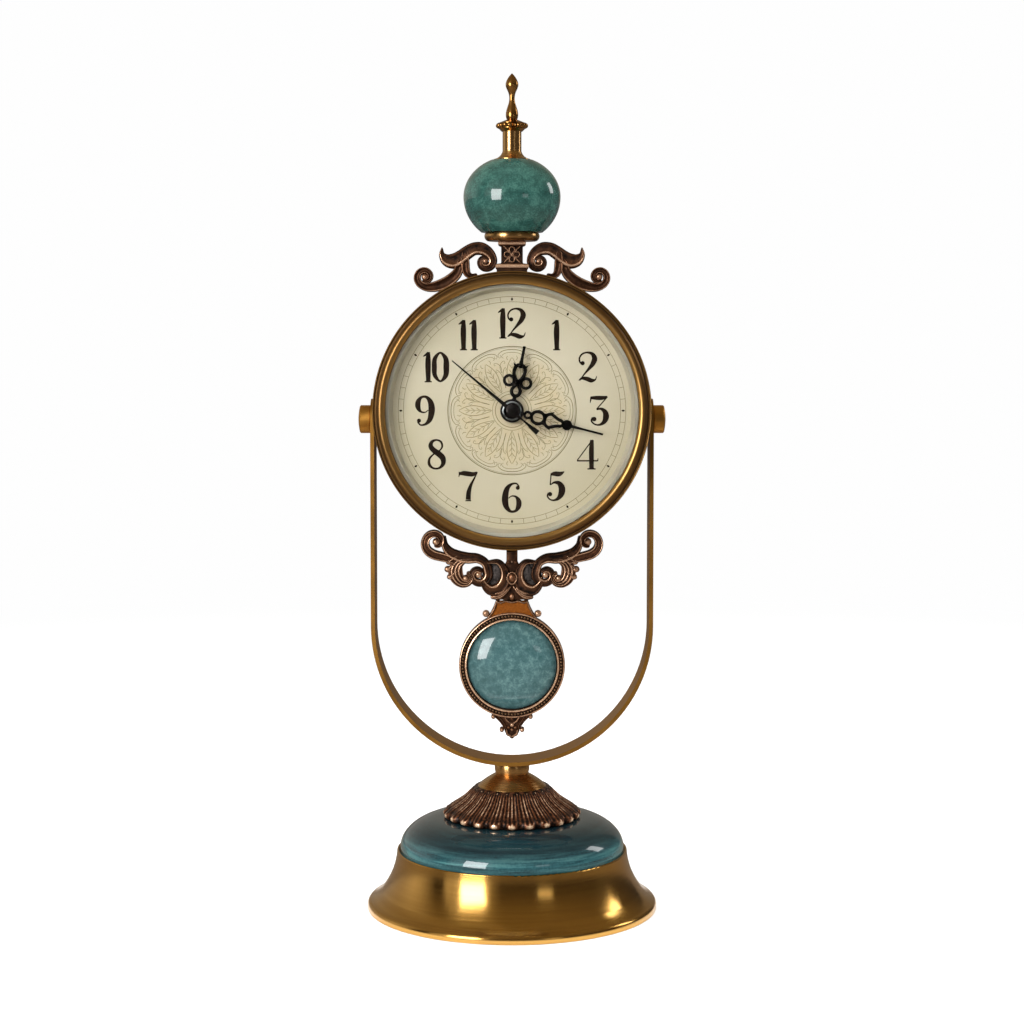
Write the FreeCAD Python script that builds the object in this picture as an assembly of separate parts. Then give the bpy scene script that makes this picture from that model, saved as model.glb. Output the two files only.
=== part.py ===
import FreeCAD, Part
import math
import os
from FreeCAD import Vector

os.makedirs("parts", exist_ok=True)

# Desk pendulum clock, in millimetres. The origin is on the surface that it stands on, at the
# middle of the base. +Z is up, +X is to the right of someone who reads the dial, and the dial
# faces -Y. A name that ends in shares holds parts of the sizes that it follows.

# Base: felt, sheet, skirt and glazed dome
felt_thickness = 1.5
felt_margin = 1.0
base_radius = 85.5
skirt_height = 34.0
skirt_rim_radius = 68.1
skirt_wall = 1.2
skirt_hem = 6.0
rim_width = 1.4
rim_depth = 3.0
lip_width = 6.5
plate_thickness = 2.0
plate_margin = 3.2
dish_radius = 14.0
dish_rise = 6.5
weight_radius = 57.0
weight_height = 18.0
dome_radius = 66.2
dome_wall = 4.0
dome_collar_height = 5.0
dome_crown_radius = 40.0
dome_crown_rise = 17.5
seat_clearance = 0.2

# Petal collar, cone, neck and the long bolt that clamps them
collar_height = 18.5
collar_top_radius = 21.6
collar_foot_radius = 40.8
collar_wall = 3.0
petal_count = 24
petal_depth = 1.6
petal_samples = 6
spiral_count = 12
cone_seat_depth = 0.5
cone_base_radius = 20.3
cone_top_radius = 10.0
cone_height = 7.7
cone_bead = 0.6
cone_bulge = 0.5
neck_radius = 10.3
neck_height = 6.3
neck_round = 0.7
spacer_radius = 8.0
bolt_radius = 3.0
bolt_clearance = 0.3
bolt_head_radius = 5.5
bolt_head_height = 4.0
bolt_flange_radius = 8.0
bolt_flange_thickness = 1.2
boss_radius = 6.5
boss_height = 7.0

# Yoke, a flat brass strip bent to a U
yoke_thickness = 2.3
yoke_width = 24.0
yoke_side_height = 121.0
knob_length = 7.4
knob_radius = 8.2
knob_gap = 0.1
knob_dome = 0.9
knob_edge = 0.6
stud_radius = 2.5
stud_reach = 11.0
running_clearance = 0.05
head_rise = 5.6

# Head: drum, bezel, glass and dial
bezel_radius = 80.0
bezel_front = 34.0
bezel_depth = 14.0
bezel_width = 7.6
bezel_overhang = 3.5
bezel_lip = 4.0
bezel_overlap = 4.0
bezel_fit = 0.1
bezel_bead = 0.9
bezel_groove_width = 1.4
bezel_groove_depth = 3.4
bezel_inner_drop = 2.4
drum_wall = 1.5
drum_depth = 50.0
drum_ledge = 4.0
ledge_thickness = 1.2
glass_thickness = 1.6
ring_width = 3.6
ring_bevel = 1.9
inner_ring_depth = 7.4
dial_thickness = 0.8
dial_hole_clearance = 0.1
cover_thickness = 1.5
cover_flange = 9.0
cover_window_width = 66.0
cover_window_height = 74.0
cover_window_round = 8.0
cover_screw_count = 4
screw_radius = 1.5
screw_head_radius = 3.0
screw_head_height = 1.2
screw_length = 3.0
slot_half_width = 16.0
slot_depth = 8.0
bush_flange_radius = 7.0
bush_core_radius = 4.5
bush_length = 6.0
bush_seat = 1.0
bush_stand = 3.355
friction_washer_thickness = 0.5
friction_washer_gap = 0.05

# Quartz movement with its own pendulum drive
case_width = 56.0
case_depth = 16.0
case_wall = 1.3
post_radius = 2.0
post_inset = 3.2
bearing_depth = 0.8
stator_gap = 0.4
stator_half = 3.2
coil_flange = 1.0
plate_gap = 0.15
cover_plate = 1.5
bushing_radius = 4.0
bushing_reach = 4.2
nut_radius = 6.6
nut_thickness = 1.6
nut_washer = 0.3
middle_plate_thickness = 1.0
middle_plate_depth = 6.6
battery_radius = 7.1
battery_length = 50.0
battery_tip_radius = 2.6
battery_tip = 1.2
battery_clearance = 0.4
battery_offset = 19.0
battery_sink = 0.6
contact_thickness = 0.4
contact_width = 8.0

# Gear train: teeth counts give 12 to 1 from minute hand to hour hand, 30 to 1 from rotor to
# second hand
cannon_teeth = 10
reverser_teeth = 30
reverser_pinion_teeth = 8
hour_teeth = 32
setter_teeth = 10
second_teeth = 40
intermediate_pinion_teeth = 8
intermediate_teeth = 48
rotor_teeth = 8
motion_module = 0.4
second_module = 0.3
rotor_module = 0.25
wheel_thickness = 1.0
pinion_length = 2.0
tooth_root_share = 1.15
tooth_tip_share = 0.85
tooth_root_width_share = 0.50
tooth_tip_width_share = 0.22
second_arbor_radius = 0.5
minute_tube_radius = 1.3
hour_tube_radius = 2.2
small_arbor_radius = 0.8
train_arbor_radius = 0.5
bearing_boss_radius = 2.0
setter_stem_radius = 1.2
setter_knob_radius = 4.5
setter_knob_height = 4.0
setter_knob_gap = 0.5
setter_knob_round = 0.6
reverser_angle = 193.0
intermediate_angle = 120.0
rotor_angle = 180.0
magnet_radius = 2.2
magnet_length = 2.0
stator_thickness = 0.6
coil_radius = 2.7
coil_length = 24.0
board_thickness = 0.8

# Hands
hand_thickness = 0.5
hour_hand_length = 37.5
minute_hand_length = 54.0
second_hand_length = 44.7
second_tail_length = 20.0
hand_gap = 0.7
hub_radius = 6.8
cap_radius = 5.0
cap_height = 0.8
needle_foot_half = 1.35
needle_tip_half = 0.22
lobe_radius = 3.6
lobe_hole = 2.0
kite_half = 3.4
bulb_radius = 2.6
bulb_hole = 1.3
bulb_spread = 2.3
disc_radius = 2.2
tail_half_width = 1.4
hour_angle = 11.0
minute_angle = 104.5
second_angle = 310.0

# Pendulum
pivot_rise = 22.0
pivot_radius = 1.2
pivot_reach = 8.2
hanger_width = 8.0
hanger_thickness = 0.8
hanger_length = 55.0
hanger_gap = 6.0
hook_radius = 1.0
pivot_shoulder_radius = 2.6
coil_case_height = 12.0
coil_case_depth = 4.9
coil_case_round = 0.6
coil_case_left = 12.0
coil_case_right = 11.2
drive_magnet_radius = 4.5
drive_magnet_thickness = 0.7
rod_width = 6.6
rod_thickness = 1.5
rod_overlap = 10.0
ornament_thickness = 5.6
ornament_half_width = 53.0
ornament_height = 41.0
ornament_lap = 4.7
ornament_relief = 0.8
ridge_share = 0.45
neck_piece_length = 6.8
medallion_radius = 31.3
medallion_depth = 7.0
medallion_bore = 26.6
medallion_lip = 1.3
bead_radius = 0.8
bead_circle = 29.1
bead_channel = 1.1
cabochon_radius = 26.2
cabochon_bulge = 5.5
cabochon_back = 2.6
back_disc_radius = 28.8
back_disc_thickness = 1.2
finial_drop_length = 12.0
finial_drop_half_width = 10.5
neck_piece_top = 9.5
neck_piece_foot = 14.5
side_ball_radius = 2.2
side_ball_angle = 63.4

# Crest, glazed ball and finial
pedestal_height = 21.8
pedestal_sink = 1.4
pedestal_top_half = 8.3
pedestal_shaft_half = 5.8
pedestal_step_half = 7.8
pedestal_foot_half = 10.2
crest_half_width = 57.0
crest_rise = 29.5
crest_thickness = 7.0
crest_relief = 0.9
ball_collar_radius = 16.1
ball_collar_height = 5.1
ball_radius = 28.3
ball_height = 41.8
ball_belt = 20.5
ball_top_reach = 23.7
ball_foot_reach = 26.5
ball_wall = 4.0
collar_bow = 0.9
cap_base_radius = 10.6
cap_flare = 1.2
cap_tube_radius = 5.5
cap_cone_height = 5.2
cap_tube_height = 11.4
bead_ring_radius = 9.4
bead_ring_height = 6.6
gadroon_count = 18
gadroon_radius = 1.6
finial_height = 27.0
finial_radius = 3.7
crest_bolt_radius = 2.0
crest_bolt_head = 4.0
crest_bolt_head_height = 3.0
crest_thread = 4.0
overrun = 5.0

# Widths that follow from the bezel: the drum behind it, and the yoke around the drum's bushes
bezel_bore = bezel_radius - bezel_width
drum_radius = bezel_radius - bezel_overhang
drum_side = math.sqrt(drum_radius ** 2 - head_rise ** 2)
bush_face_x = drum_side + bush_stand
washer_stack = friction_washer_thickness + friction_washer_gap
yoke_half_width = bush_face_x + washer_stack + yoke_thickness
knob_inner_x = yoke_half_width + knob_gap
knob_end = knob_inner_x + knob_length

# Heights that follow from the stack
plate_bottom = felt_thickness
foot_gap = felt_thickness - skirt_wall
plate_top = plate_bottom + plate_thickness
dish_top = plate_top + dish_rise
dome_seat = skirt_height - rim_depth
dome_top = dome_seat + dome_collar_height + dome_crown_rise
collar_top = dome_top + collar_height
cone_bottom = collar_top - cone_seat_depth
cone_top = cone_bottom + cone_height
yoke_bottom = cone_top + neck_height
yoke_centre = yoke_bottom + yoke_half_width
pivot_z = yoke_centre + yoke_side_height
head_z = pivot_z + head_rise
drum_top = head_z + drum_radius
pedestal_top = drum_top + pedestal_height
ball_bottom = pedestal_top + ball_collar_height
ball_top = ball_bottom + ball_height
cap_top = ball_top + cap_cone_height + cap_tube_height
finial_bottom = cap_top + bead_ring_height
total_height = finial_bottom + finial_height

# Depths of the head, from the front
bezel_back_y = bezel_depth - bezel_front
glass_front_y = bezel_lip - bezel_front
glass_back_y = glass_front_y + glass_thickness
dial_front_y = glass_back_y + inner_ring_depth
dial_back_y = dial_front_y + dial_thickness
drum_front_y = bezel_back_y - bezel_overlap
drum_back_y = drum_front_y + drum_depth
case_front_y = dial_back_y
case_floor_y = case_front_y + case_wall
cover_front_y = case_front_y + case_depth
cover_back_y = cover_front_y + cover_plate
middle_front_y = case_front_y + middle_plate_depth
middle_back_y = middle_front_y + middle_plate_thickness
hanger_front_y = cover_back_y + hanger_gap
hanger_back_y = hanger_front_y + hanger_thickness
rod_back_y = hanger_back_y + rod_thickness

AXIS_X = Vector(1, 0, 0)
AXIS_Y = Vector(0, 1, 0)
AXIS_Z = Vector(0, 0, 1)
FULL_TURN = 360.0


def wire_of(steps, place):
    """Closed wire: a step is a corner, or an arc's middle and end."""
    edges = []
    here = steps[0]
    for step in steps[1:] + steps[:1]:
        if isinstance(step[0], tuple):
            middle, end = step
            edges.append(Part.Arc(place(*here), place(*middle), place(*end)).toShape())
        else:
            end = step
            if end != here:
                edges.append(Part.LineSegment(place(*here), place(*end)).toShape())
        here = end
    return Part.Wire(edges)


def turned(steps, x=0.0, y=0.0):
    """Solid turned about the vertical axis from steps of radius and height."""
    face = Part.Face(wire_of(steps, lambda r, z: Vector(x + r, y, z)))
    return face.revolve(Vector(x, y, 0), AXIS_Z, FULL_TURN)


def spun(steps, x=0.0, z=None):
    """Solid turned about an axis along Y from steps of radius and depth."""
    height = head_z if z is None else z
    face = Part.Face(wire_of(steps, lambda r, y: Vector(x + r, y, height)))
    return face.revolve(Vector(x, 0, height), AXIS_Y, FULL_TURN)


def crown(radius, foot, top):
    """Last step of a turned outline: an arc from the rim to the axis, part of a sphere."""
    rise = top - foot
    ball = (radius ** 2 + rise ** 2) / (2 * rise)
    half = math.asin(radius / abs(ball)) / 2
    return (abs(ball) * math.sin(half), top - ball + ball * math.cos(half)), (0, top)


def upright(radius, low, high, x=0.0, y=0.0):
    """Cylinder along Z from low to high."""
    return Part.makeCylinder(radius, high - low, Vector(x, y, low), AXIS_Z)


def across(radius, front, back, x=0.0, z=None):
    """Cylinder along Y from front to back, on the head's centre unless z is given."""
    height = head_z if z is None else z
    return Part.makeCylinder(radius, back - front, Vector(x, front, height), AXIS_Y)


def sideways(radius, left, right, z):
    """Cylinder along X from left to right."""
    return Part.makeCylinder(radius, right - left, Vector(left, 0, z), AXIS_X)


def block(left, right, front, back, low, high):
    """Box between six planes."""
    return Part.makeBox(right - left, back - front, high - low, Vector(left, front, low))


def plate(steps, front, back, x=0.0, z=0.0):
    """Flat piece: steps of x and z, extruded from front to back."""
    face = Part.Face(wire_of(steps, lambda a, b: Vector(x + a, front, z + b)))
    return face.extrude(Vector(0, back - front, 0))


def mirrored(shape):
    """The shape's twin on the other side of the clock."""
    return shape.mirror(Vector(0, 0, 0), AXIS_X)


def joined(shapes):
    """One solid from shapes that touch or overlap."""
    whole = shapes[0]
    if len(shapes) > 1:
        whole = whole.multiFuse(shapes[1:])
    return whole.removeSplitter()


def save(name, shape):
    """Write one node and say how many solids it holds."""
    solids = shape.Solids
    whole = solids[0] if len(solids) == 1 else Part.makeCompound(solids)
    whole.exportStep("parts/" + name + ".step")
    print(name, len(solids), whole.isValid(), round(whole.Volume, 2))


def ring_points(centre, radius, start, stop, count):
    """Points on an arc of a circle, angles in degrees."""
    points = []
    for index in range(count):
        angle = math.radians(start + (stop - start) * index / (count - 1))
        points.append((centre[0] + radius * math.cos(angle), centre[1] + radius * math.sin(angle)))
    return points


def spiral(eye, radii, angles, halves, count):
    """Stations of a spiral that closes in on its eye: radius and half width change evenly."""
    line = []
    for index in range(count):
        share = index / (count - 1)
        radius = radii[0] + (radii[1] - radii[0]) * share
        angle = math.radians(angles[0] + (angles[1] - angles[0]) * share)
        half = halves[0] + (halves[1] - halves[0]) * share
        line.append((eye[0] + radius * math.cos(angle), eye[1] + radius * math.sin(angle), half))
    return line


def stations(shares, width, height, top):
    """Stations on the left half of a casting, measured from its middle and down from its top."""
    return [(-width * a, top - height * b, height * c) for a, b, c in shares]


def ribbon(line, front, back, narrow=1.0, samples=32):
    """Scroll arm through stations of x, z and half width, with round ends."""
    curve = Part.BSplineCurve()
    curve.interpolate([Vector(x, half, z) for x, z, half in line])
    first = curve.FirstParameter
    span = curve.LastParameter - first
    left = []
    right = []
    caps = []
    for index in range(samples + 1):
        here = curve.value(first + span * index / samples)
        along = curve.tangent(first + span * index / samples)[0]
        along = Vector(along.x, 0, along.z).normalize() * here.y * narrow
        middle = Vector(here.x, front, here.z)
        side = Vector(-along.z, 0, along.x)
        left.append(middle + side)
        right.append(middle - side)
        if index in (0, samples):
            caps.append(middle + along * (1 if index else -1))
    rows = []
    for row in (left, right[::-1]):
        edge = Part.BSplineCurve()
        edge.interpolate(row)
        rows.append(edge.toShape())
    start_cap = Part.Arc(right[0], caps[0], left[0]).toShape()
    end_cap = Part.Arc(left[-1], caps[1], right[-1]).toShape()
    face = Part.Face(Part.Wire([start_cap, rows[0], end_cap, rows[1]]))
    return face.extrude(Vector(0, back - front, 0))


def raised(line, front, back, relief):
    """Scroll arm with a narrower ridge along its front."""
    return [ribbon(line, front, back), ribbon(line, front - relief, front + relief, ridge_share)]


def gear(teeth, module, front, back, x, z, phase=0.0):
    """Spur wheel with slim straight-flanked teeth, which leave backlash on both sides."""
    pitch = teeth * module / 2
    root = pitch - tooth_root_share * module
    tip = pitch + tooth_tip_share * module
    step = FULL_TURN / teeth
    steps = []
    for index in range(teeth):
        middle = phase + index * step
        for radius, share in ((root, -tooth_root_width_share), (tip, -tooth_tip_width_share),
                              (tip, tooth_tip_width_share), (root, tooth_root_width_share)):
            angle = math.radians(middle + share * step / 2)
            steps.append((radius * math.cos(angle), radius * math.sin(angle)))
    return plate(steps, front, back, x, z)


def polar(distance, angle):
    """Place at an angle in degrees from the head's centre, as x and z."""
    turn = math.radians(angle)
    return distance * math.cos(turn), distance * math.sin(turn)


# Skirt: spun from one brass sheet, flared at the foot and rolled at the rim
flare = base_radius - skirt_rim_radius
flare_shares = {"waist": (0.184, 0.603), "bend": (0.534, 0.300), "sweep": (0.707, 0.212),
                "toe": (0.897, 0.147), "edge": (0.989, 0.106)}
flare_at = {}
for part_name, (out_share, up_share) in flare_shares.items():
    flare_at[part_name] = (skirt_rim_radius + out_share * flare, up_share * skirt_height)
rim_middle = (skirt_rim_radius - rim_width / 2, skirt_height + rim_width / 2)
rim_inner = (skirt_rim_radius - rim_width, skirt_height)
skirt_steps = [(0, foot_gap), (base_radius, foot_gap), (base_radius, foot_gap + skirt_wall),
               (flare_at["edge"], flare_at["toe"]), (flare_at["sweep"], flare_at["bend"]),
               (flare_at["waist"], (skirt_rim_radius, skirt_height)), (rim_middle, rim_inner),
               (skirt_rim_radius - rim_width, dome_seat), (0, dome_seat)]
skirt_face = Part.Face(wire_of(skirt_steps, lambda r, z: Vector(r, 0, z)))
skirt_solid = skirt_face.revolve(Vector(0, 0, 0), AXIS_Z, FULL_TURN)
skirt_core = skirt_face.makeOffset2D(-skirt_wall).revolve(Vector(0, 0, 0), AXIS_Z, FULL_TURN)
hem_opening = upright(base_radius - skirt_hem, foot_gap - overrun, plate_bottom + skirt_wall)
lip_opening = upright(skirt_rim_radius - lip_width, foot_gap - overrun, skirt_height + overrun)
save("base_skirt", skirt_solid.cut([skirt_core, hem_opening, lip_opening]))

# Base plate: a steel disc with a raised dish for the bolt's head, felt below, a weight above
plate_radius = base_radius - plate_margin
bolt_hole = bolt_radius + bolt_clearance
dish_outer = dish_radius + plate_thickness
save("base_plate", turned([
    (dish_radius, plate_bottom), (plate_radius, plate_bottom), (plate_radius, plate_top),
    (dish_outer, plate_top), (dish_outer, dish_top), (bolt_hole, dish_top),
    (bolt_hole, dish_top - plate_thickness), (dish_radius, dish_top - plate_thickness)]))
felt_radius = base_radius - skirt_hem - felt_margin
save("felt_pad", turned([(dish_radius, 0), (felt_radius, 0), (felt_radius, felt_thickness),
                         (dish_radius, felt_thickness)]))
weight_top = plate_top + weight_height
weight_pocket = dish_outer + bolt_clearance
save("base_weight", turned([
    (weight_pocket, plate_top), (weight_radius, plate_top), (weight_radius, weight_top),
    (bolt_hole, weight_top), (bolt_hole, dish_top), (weight_pocket, dish_top)]))
save("spacer_tube", upright(spacer_radius, weight_top, dome_top - dome_wall).cut(
    upright(bolt_hole, weight_top - overrun, dome_top)))


def dome_solid(shrink, floor):
    """Cushion-shaped solid: a straight collar, then a quarter ellipse, then a flat crown."""
    centre = Vector(dome_crown_radius, 0, dome_seat + dome_collar_height)
    side = centre + Vector(dome_radius - dome_crown_radius - shrink, 0, 0)
    crown = centre + Vector(0, 0, dome_crown_rise - shrink)
    if side.x - centre.x >= crown.z - centre.z:
        curve = Part.Ellipse(side, crown, centre)
        edge = Part.ArcOfEllipse(curve, 0, math.pi / 2).toShape()
    else:
        curve = Part.Ellipse(crown, side, centre)
        edge = Part.ArcOfEllipse(curve, 0, math.pi / 2).toShape()
    foot = Vector(side.x, 0, floor)
    lines = [Part.LineSegment(Vector(0, 0, floor), foot).toShape(),
             Part.LineSegment(foot, side).toShape(), edge,
             Part.LineSegment(crown, Vector(0, 0, crown.z)).toShape(),
             Part.LineSegment(Vector(0, 0, crown.z), Vector(0, 0, floor)).toShape()]
    wire = Part.Wire(Part.__sortEdges__(lines))
    return Part.Face(wire).revolve(Vector(0, 0, 0), AXIS_Z, FULL_TURN)


# Glazed dome: a hollow ceramic cushion that sits inside the skirt's rim
save("ceramic_dome", dome_solid(0, dome_seat).cut([
    dome_solid(dome_wall, dome_seat - overrun), upright(bolt_hole, dome_seat, dome_top + overrun)]))

# Petal collar: wavy rings from the foot to the neck, lofted to one casting, hollow below
collar_shares = [(0.970, 0.000, 0.7), (0.998, 0.060, 1.0), (1.000, 0.160, 1.0),
                 (0.978, 0.270, 1.0), (0.920, 0.370, 0.8), (0.835, 0.470, 0.6),
                 (0.750, 0.570, 0.5), (0.685, 0.690, 0.45), (0.640, 0.830, 0.4),
                 (0.600, 0.930, 0.2)]
collar_wires = []
for radius_share, height_share, wave_share in collar_shares:
    ring = []
    for index in range(petal_count * petal_samples):
        angle = 2 * math.pi * index / (petal_count * petal_samples)
        dip = wave_share * petal_depth * (1 - math.cos(petal_count * angle)) / 2
        radius = radius_share * collar_foot_radius - dip
        ring.append(Vector(radius * math.cos(angle), radius * math.sin(angle),
                           dome_top + height_share * collar_height))
    wave = Part.BSplineCurve()
    wave.interpolate(ring, PeriodicFlag=True)
    collar_wires.append(Part.Wire([wave.toShape()]))
collar_flank = Part.makeLoft(collar_wires, True)
shoulder_shares = (0.585, 0.92)
shoulder_radius = shoulder_shares[0] * collar_foot_radius
shoulder_z = dome_top + shoulder_shares[1] * collar_height
rim_inner_radius = cone_base_radius + seat_clearance
collar_crown = turned([(0, shoulder_z - collar_wall), (shoulder_radius, shoulder_z - collar_wall),
                       (shoulder_radius, shoulder_z), (collar_top_radius, collar_top),
                       (rim_inner_radius, collar_top), (rim_inner_radius, cone_bottom),
                       (0, cone_bottom)])
hollow_foot = collar_foot_radius - petal_depth - collar_wall
hollow_top = collar_top_radius - collar_wall
collar_hollow = turned([(0, dome_top - overrun), (hollow_foot, dome_top - overrun),
                        (hollow_foot, dome_top + collar_wall),
                        ((hollow_top + collar_wall, dome_top + collar_height / 2),
                         (hollow_top, cone_bottom - collar_wall)), (0, cone_bottom - collar_wall)])
collar_cone_cut = turned([(0, cone_bottom), (rim_inner_radius, cone_bottom),
                          (rim_inner_radius, collar_top + overrun), (0, collar_top + overrun)])
collar = joined([collar_flank, collar_crown]).cut([
    collar_hollow, collar_cone_cut, upright(bolt_hole, dome_top, collar_top + overrun)])
save("petal_collar", collar)

# Cone and neck: spun brass, threaded on the same bolt
cone_flank_share = 0.46
flank_middle = (cone_top_radius + (cone_base_radius - cone_top_radius) * cone_flank_share + cone_bulge,
                cone_top - cone_height * cone_flank_share + cone_bulge)
save("base_cone", turned([
    (bolt_hole, cone_bottom), (cone_base_radius, cone_bottom),
    (cone_base_radius, cone_bottom + cone_bead), (flank_middle, (cone_top_radius, cone_top)),
    (bolt_hole, cone_top)]))
neck_bore = boss_radius + seat_clearance
neck = turned([
    (neck_bore, cone_top), (neck_radius - neck_round, cone_top),
    ((neck_radius, cone_top + neck_height / 2), (neck_radius - neck_round, yoke_bottom + neck_round)),
    (neck_bore, yoke_bottom + neck_round)])
yoke_round = Part.makeCylinder(yoke_half_width, yoke_width + 2 * overrun,
                               Vector(0, -yoke_width / 2 - overrun, yoke_centre), AXIS_Y)
save("neck_ring", neck.cut(yoke_round))


def u_shape(half_width, reach):
    """Half round below and straight sides above, as one thick solid along Y."""
    depth = reach / 2
    return plate([(-half_width, 0), ((0, -half_width), (half_width, 0)),
                  (half_width, yoke_side_height + reach), (-half_width, yoke_side_height + reach)],
                 -depth, depth, 0, yoke_centre)


# Yoke: the strip between two U shapes, its ends rounded about the pivot, with a threaded boss
strip = u_shape(yoke_half_width, yoke_width).cut(
    u_shape(yoke_half_width - yoke_thickness, yoke_width + 2 * overrun))
tongue = block(-yoke_half_width - overrun, yoke_half_width + overrun, -yoke_width / 2, yoke_width / 2,
               yoke_bottom - overrun, pivot_z)
tongue_end = sideways(yoke_width / 2, -yoke_half_width - overrun, yoke_half_width + overrun, pivot_z)
strip = strip.common(tongue.fuse(tongue_end))
boss = upright(boss_radius, yoke_bottom - boss_height + seat_clearance, yoke_bottom + yoke_thickness / 2)
boss = boss.common(upright(boss_radius + overrun, cone_top, yoke_bottom + yoke_thickness))
inner_round = Part.makeCylinder(yoke_half_width - yoke_thickness / 2, yoke_width + 2 * overrun,
                                Vector(0, -yoke_width / 2 - overrun, yoke_centre), AXIS_Y)
boss = boss.cut(inner_round)
bolt_tip = yoke_bottom - running_clearance
yoke = joined([strip, boss]).cut([
    upright(bolt_radius, cone_top - overrun, bolt_tip),
    sideways(stud_radius + running_clearance, -knob_end, knob_end, pivot_z)])
save("yoke", yoke)

# Long bolt: its flanged hexagon head is in the dish of the base plate, its end in the yoke's boss
dish_ceiling = dish_top - plate_thickness
bolt_head_top = dish_ceiling - bolt_flange_thickness
hexagon = ring_points((0, 0), bolt_head_radius, 0, FULL_TURN, 7)[:6]
bolt_head = Part.Face(Part.makePolygon([Vector(a, b, bolt_head_top - bolt_head_height)
                                        for a, b in hexagon + hexagon[:1]]))
bolt_head = bolt_head.extrude(Vector(0, 0, bolt_head_height))
save("tie_bolt", joined([bolt_head, upright(bolt_flange_radius, bolt_head_top, dish_ceiling),
                         upright(bolt_radius, bolt_head_top, bolt_tip)]))

# Pivots: a knob with its stud on each side, a bush in the drum and a fibre washer between


def pivot_profile(steps):
    """Solid turned about the tilt axis from steps of x and radius."""
    face = Part.Face(wire_of(steps, lambda x, r: Vector(x, 0, pivot_z + r)))
    return face.revolve(Vector(0, 0, pivot_z), AXIS_X, FULL_TURN)


def swapped(step):
    """An arc's middle and end with radius and height exchanged."""
    return tuple((b, a) for a, b in step)


right_knob = pivot_profile([
    (knob_inner_x, 0), (knob_inner_x, knob_radius - knob_edge), (knob_inner_x + knob_edge, knob_radius),
    (knob_end - knob_dome - knob_edge, knob_radius), (knob_end - knob_dome, knob_radius - knob_edge),
    swapped(crown(knob_radius - knob_edge, knob_end - knob_dome, knob_end))])
right_stud = sideways(stud_radius, knob_inner_x - stud_reach, knob_inner_x + knob_edge, pivot_z)
right_knob = joined([right_knob, right_stud])
save("right_pivot_knob", right_knob)
save("left_pivot_knob", mirrored(right_knob))
stud_hole = stud_radius + running_clearance
right_bush = pivot_profile([
    (drum_side - bush_length, stud_hole), (bush_face_x, stud_hole), (bush_face_x, bush_flange_radius),
    (drum_side + bush_seat, bush_flange_radius), (drum_side + bush_seat, bush_core_radius),
    (drum_side - bush_length, bush_core_radius)])
flange_skirt = sideways(bush_flange_radius, drum_side - bush_seat, drum_side + bush_seat, pivot_z)
flange_skirt = flange_skirt.cut([across(drum_radius, drum_front_y, drum_back_y),
                                 sideways(bush_core_radius, 0, bush_face_x, pivot_z)])
right_bush = joined([right_bush, flange_skirt])
save("pivot_bushes", Part.makeCompound([right_bush, mirrored(right_bush)]))
right_washer = pivot_profile([
    (bush_face_x, stud_hole), (bush_face_x + friction_washer_thickness, stud_hole),
    (bush_face_x + friction_washer_thickness, bush_flange_radius), (bush_face_x, bush_flange_radius)])
save("friction_washers", Part.makeCompound([right_washer, mirrored(right_washer)]))

# Drum: a tube with a ledge for the dial, a flange for the back cover and its openings
drum_inner = drum_radius - drum_wall
flange_y = drum_back_y - cover_thickness
flange_front_y = flange_y - ledge_thickness
flange_radius = drum_inner - cover_flange
drum = spun([(drum_inner, drum_front_y), (drum_radius, drum_front_y), (drum_radius, drum_back_y),
             (drum_inner, drum_back_y), (drum_inner, flange_y), (flange_radius, flange_y),
             (flange_radius, flange_front_y), (drum_inner, flange_front_y),
             (drum_inner, dial_back_y + ledge_thickness), (drum_inner - drum_ledge,
                                                           dial_back_y + ledge_thickness),
             (drum_inner - drum_ledge, dial_back_y), (drum_inner, dial_back_y)])
slot_front_y = rod_back_y - rod_thickness / 2 - slot_depth / 2
rod_slot = block(-slot_half_width, slot_half_width, slot_front_y, slot_front_y + slot_depth,
                 head_z - drum_radius - overrun, head_z - drum_radius / 2)
drum = drum.cut([rod_slot, sideways(bush_core_radius, -knob_end, knob_end, pivot_z),
                 upright(crest_bolt_radius + bolt_clearance, head_z, drum_top + overrun)])
cover_radius = drum_inner - seat_clearance
screw_circle = flange_radius + cover_flange / 2
screw_places = []
for index in range(cover_screw_count):
    screw_places.append(polar(screw_circle, 45 + index * FULL_TURN / cover_screw_count))
drum = drum.cut([across(screw_radius, flange_front_y - overrun, flange_y + overrun, x, head_z + z)
                 for x, z in screw_places])
save("drum_case", drum)


def rounded_rectangle(half_width, half_height, radius):
    """Outline with four round corners, in x and z about a centre."""
    bow = radius * (1 - math.sqrt(0.5))
    w, h, r = half_width, half_height, radius
    return [(r - w, -h), (w - r, -h), ((w - bow, bow - h), (w, r - h)), (w, h - r),
            ((w - bow, h - bow), (w - r, h)), (r - w, h), ((bow - w, h - bow), (-w, h - r)),
            (-w, r - h), ((bow - w, bow - h), (r - w, -h))]


# Back cover: a lid with a window for the battery and the setting knob, held by screws
window = plate(rounded_rectangle(cover_window_width / 2, cover_window_height / 2, cover_window_round),
               flange_y - overrun, drum_back_y + overrun, 0, head_z)
cover = across(cover_radius, flange_y, drum_back_y).cut(
    [window] + [across(screw_radius, flange_y - overrun, drum_back_y + overrun, x, head_z + z)
                for x, z in screw_places])
save("back_cover", cover)
screws = []
for x, z in screw_places:
    shank = across(screw_radius - running_clearance, drum_back_y - screw_length, drum_back_y, x, head_z + z)
    head = spun([(0, drum_back_y), (screw_head_radius, drum_back_y),
                 crown(screw_head_radius, drum_back_y, drum_back_y + screw_head_height)], x, head_z + z)
    screws.append(joined([head, shank]))
save("cover_screws", Part.makeCompound(screws))

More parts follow.
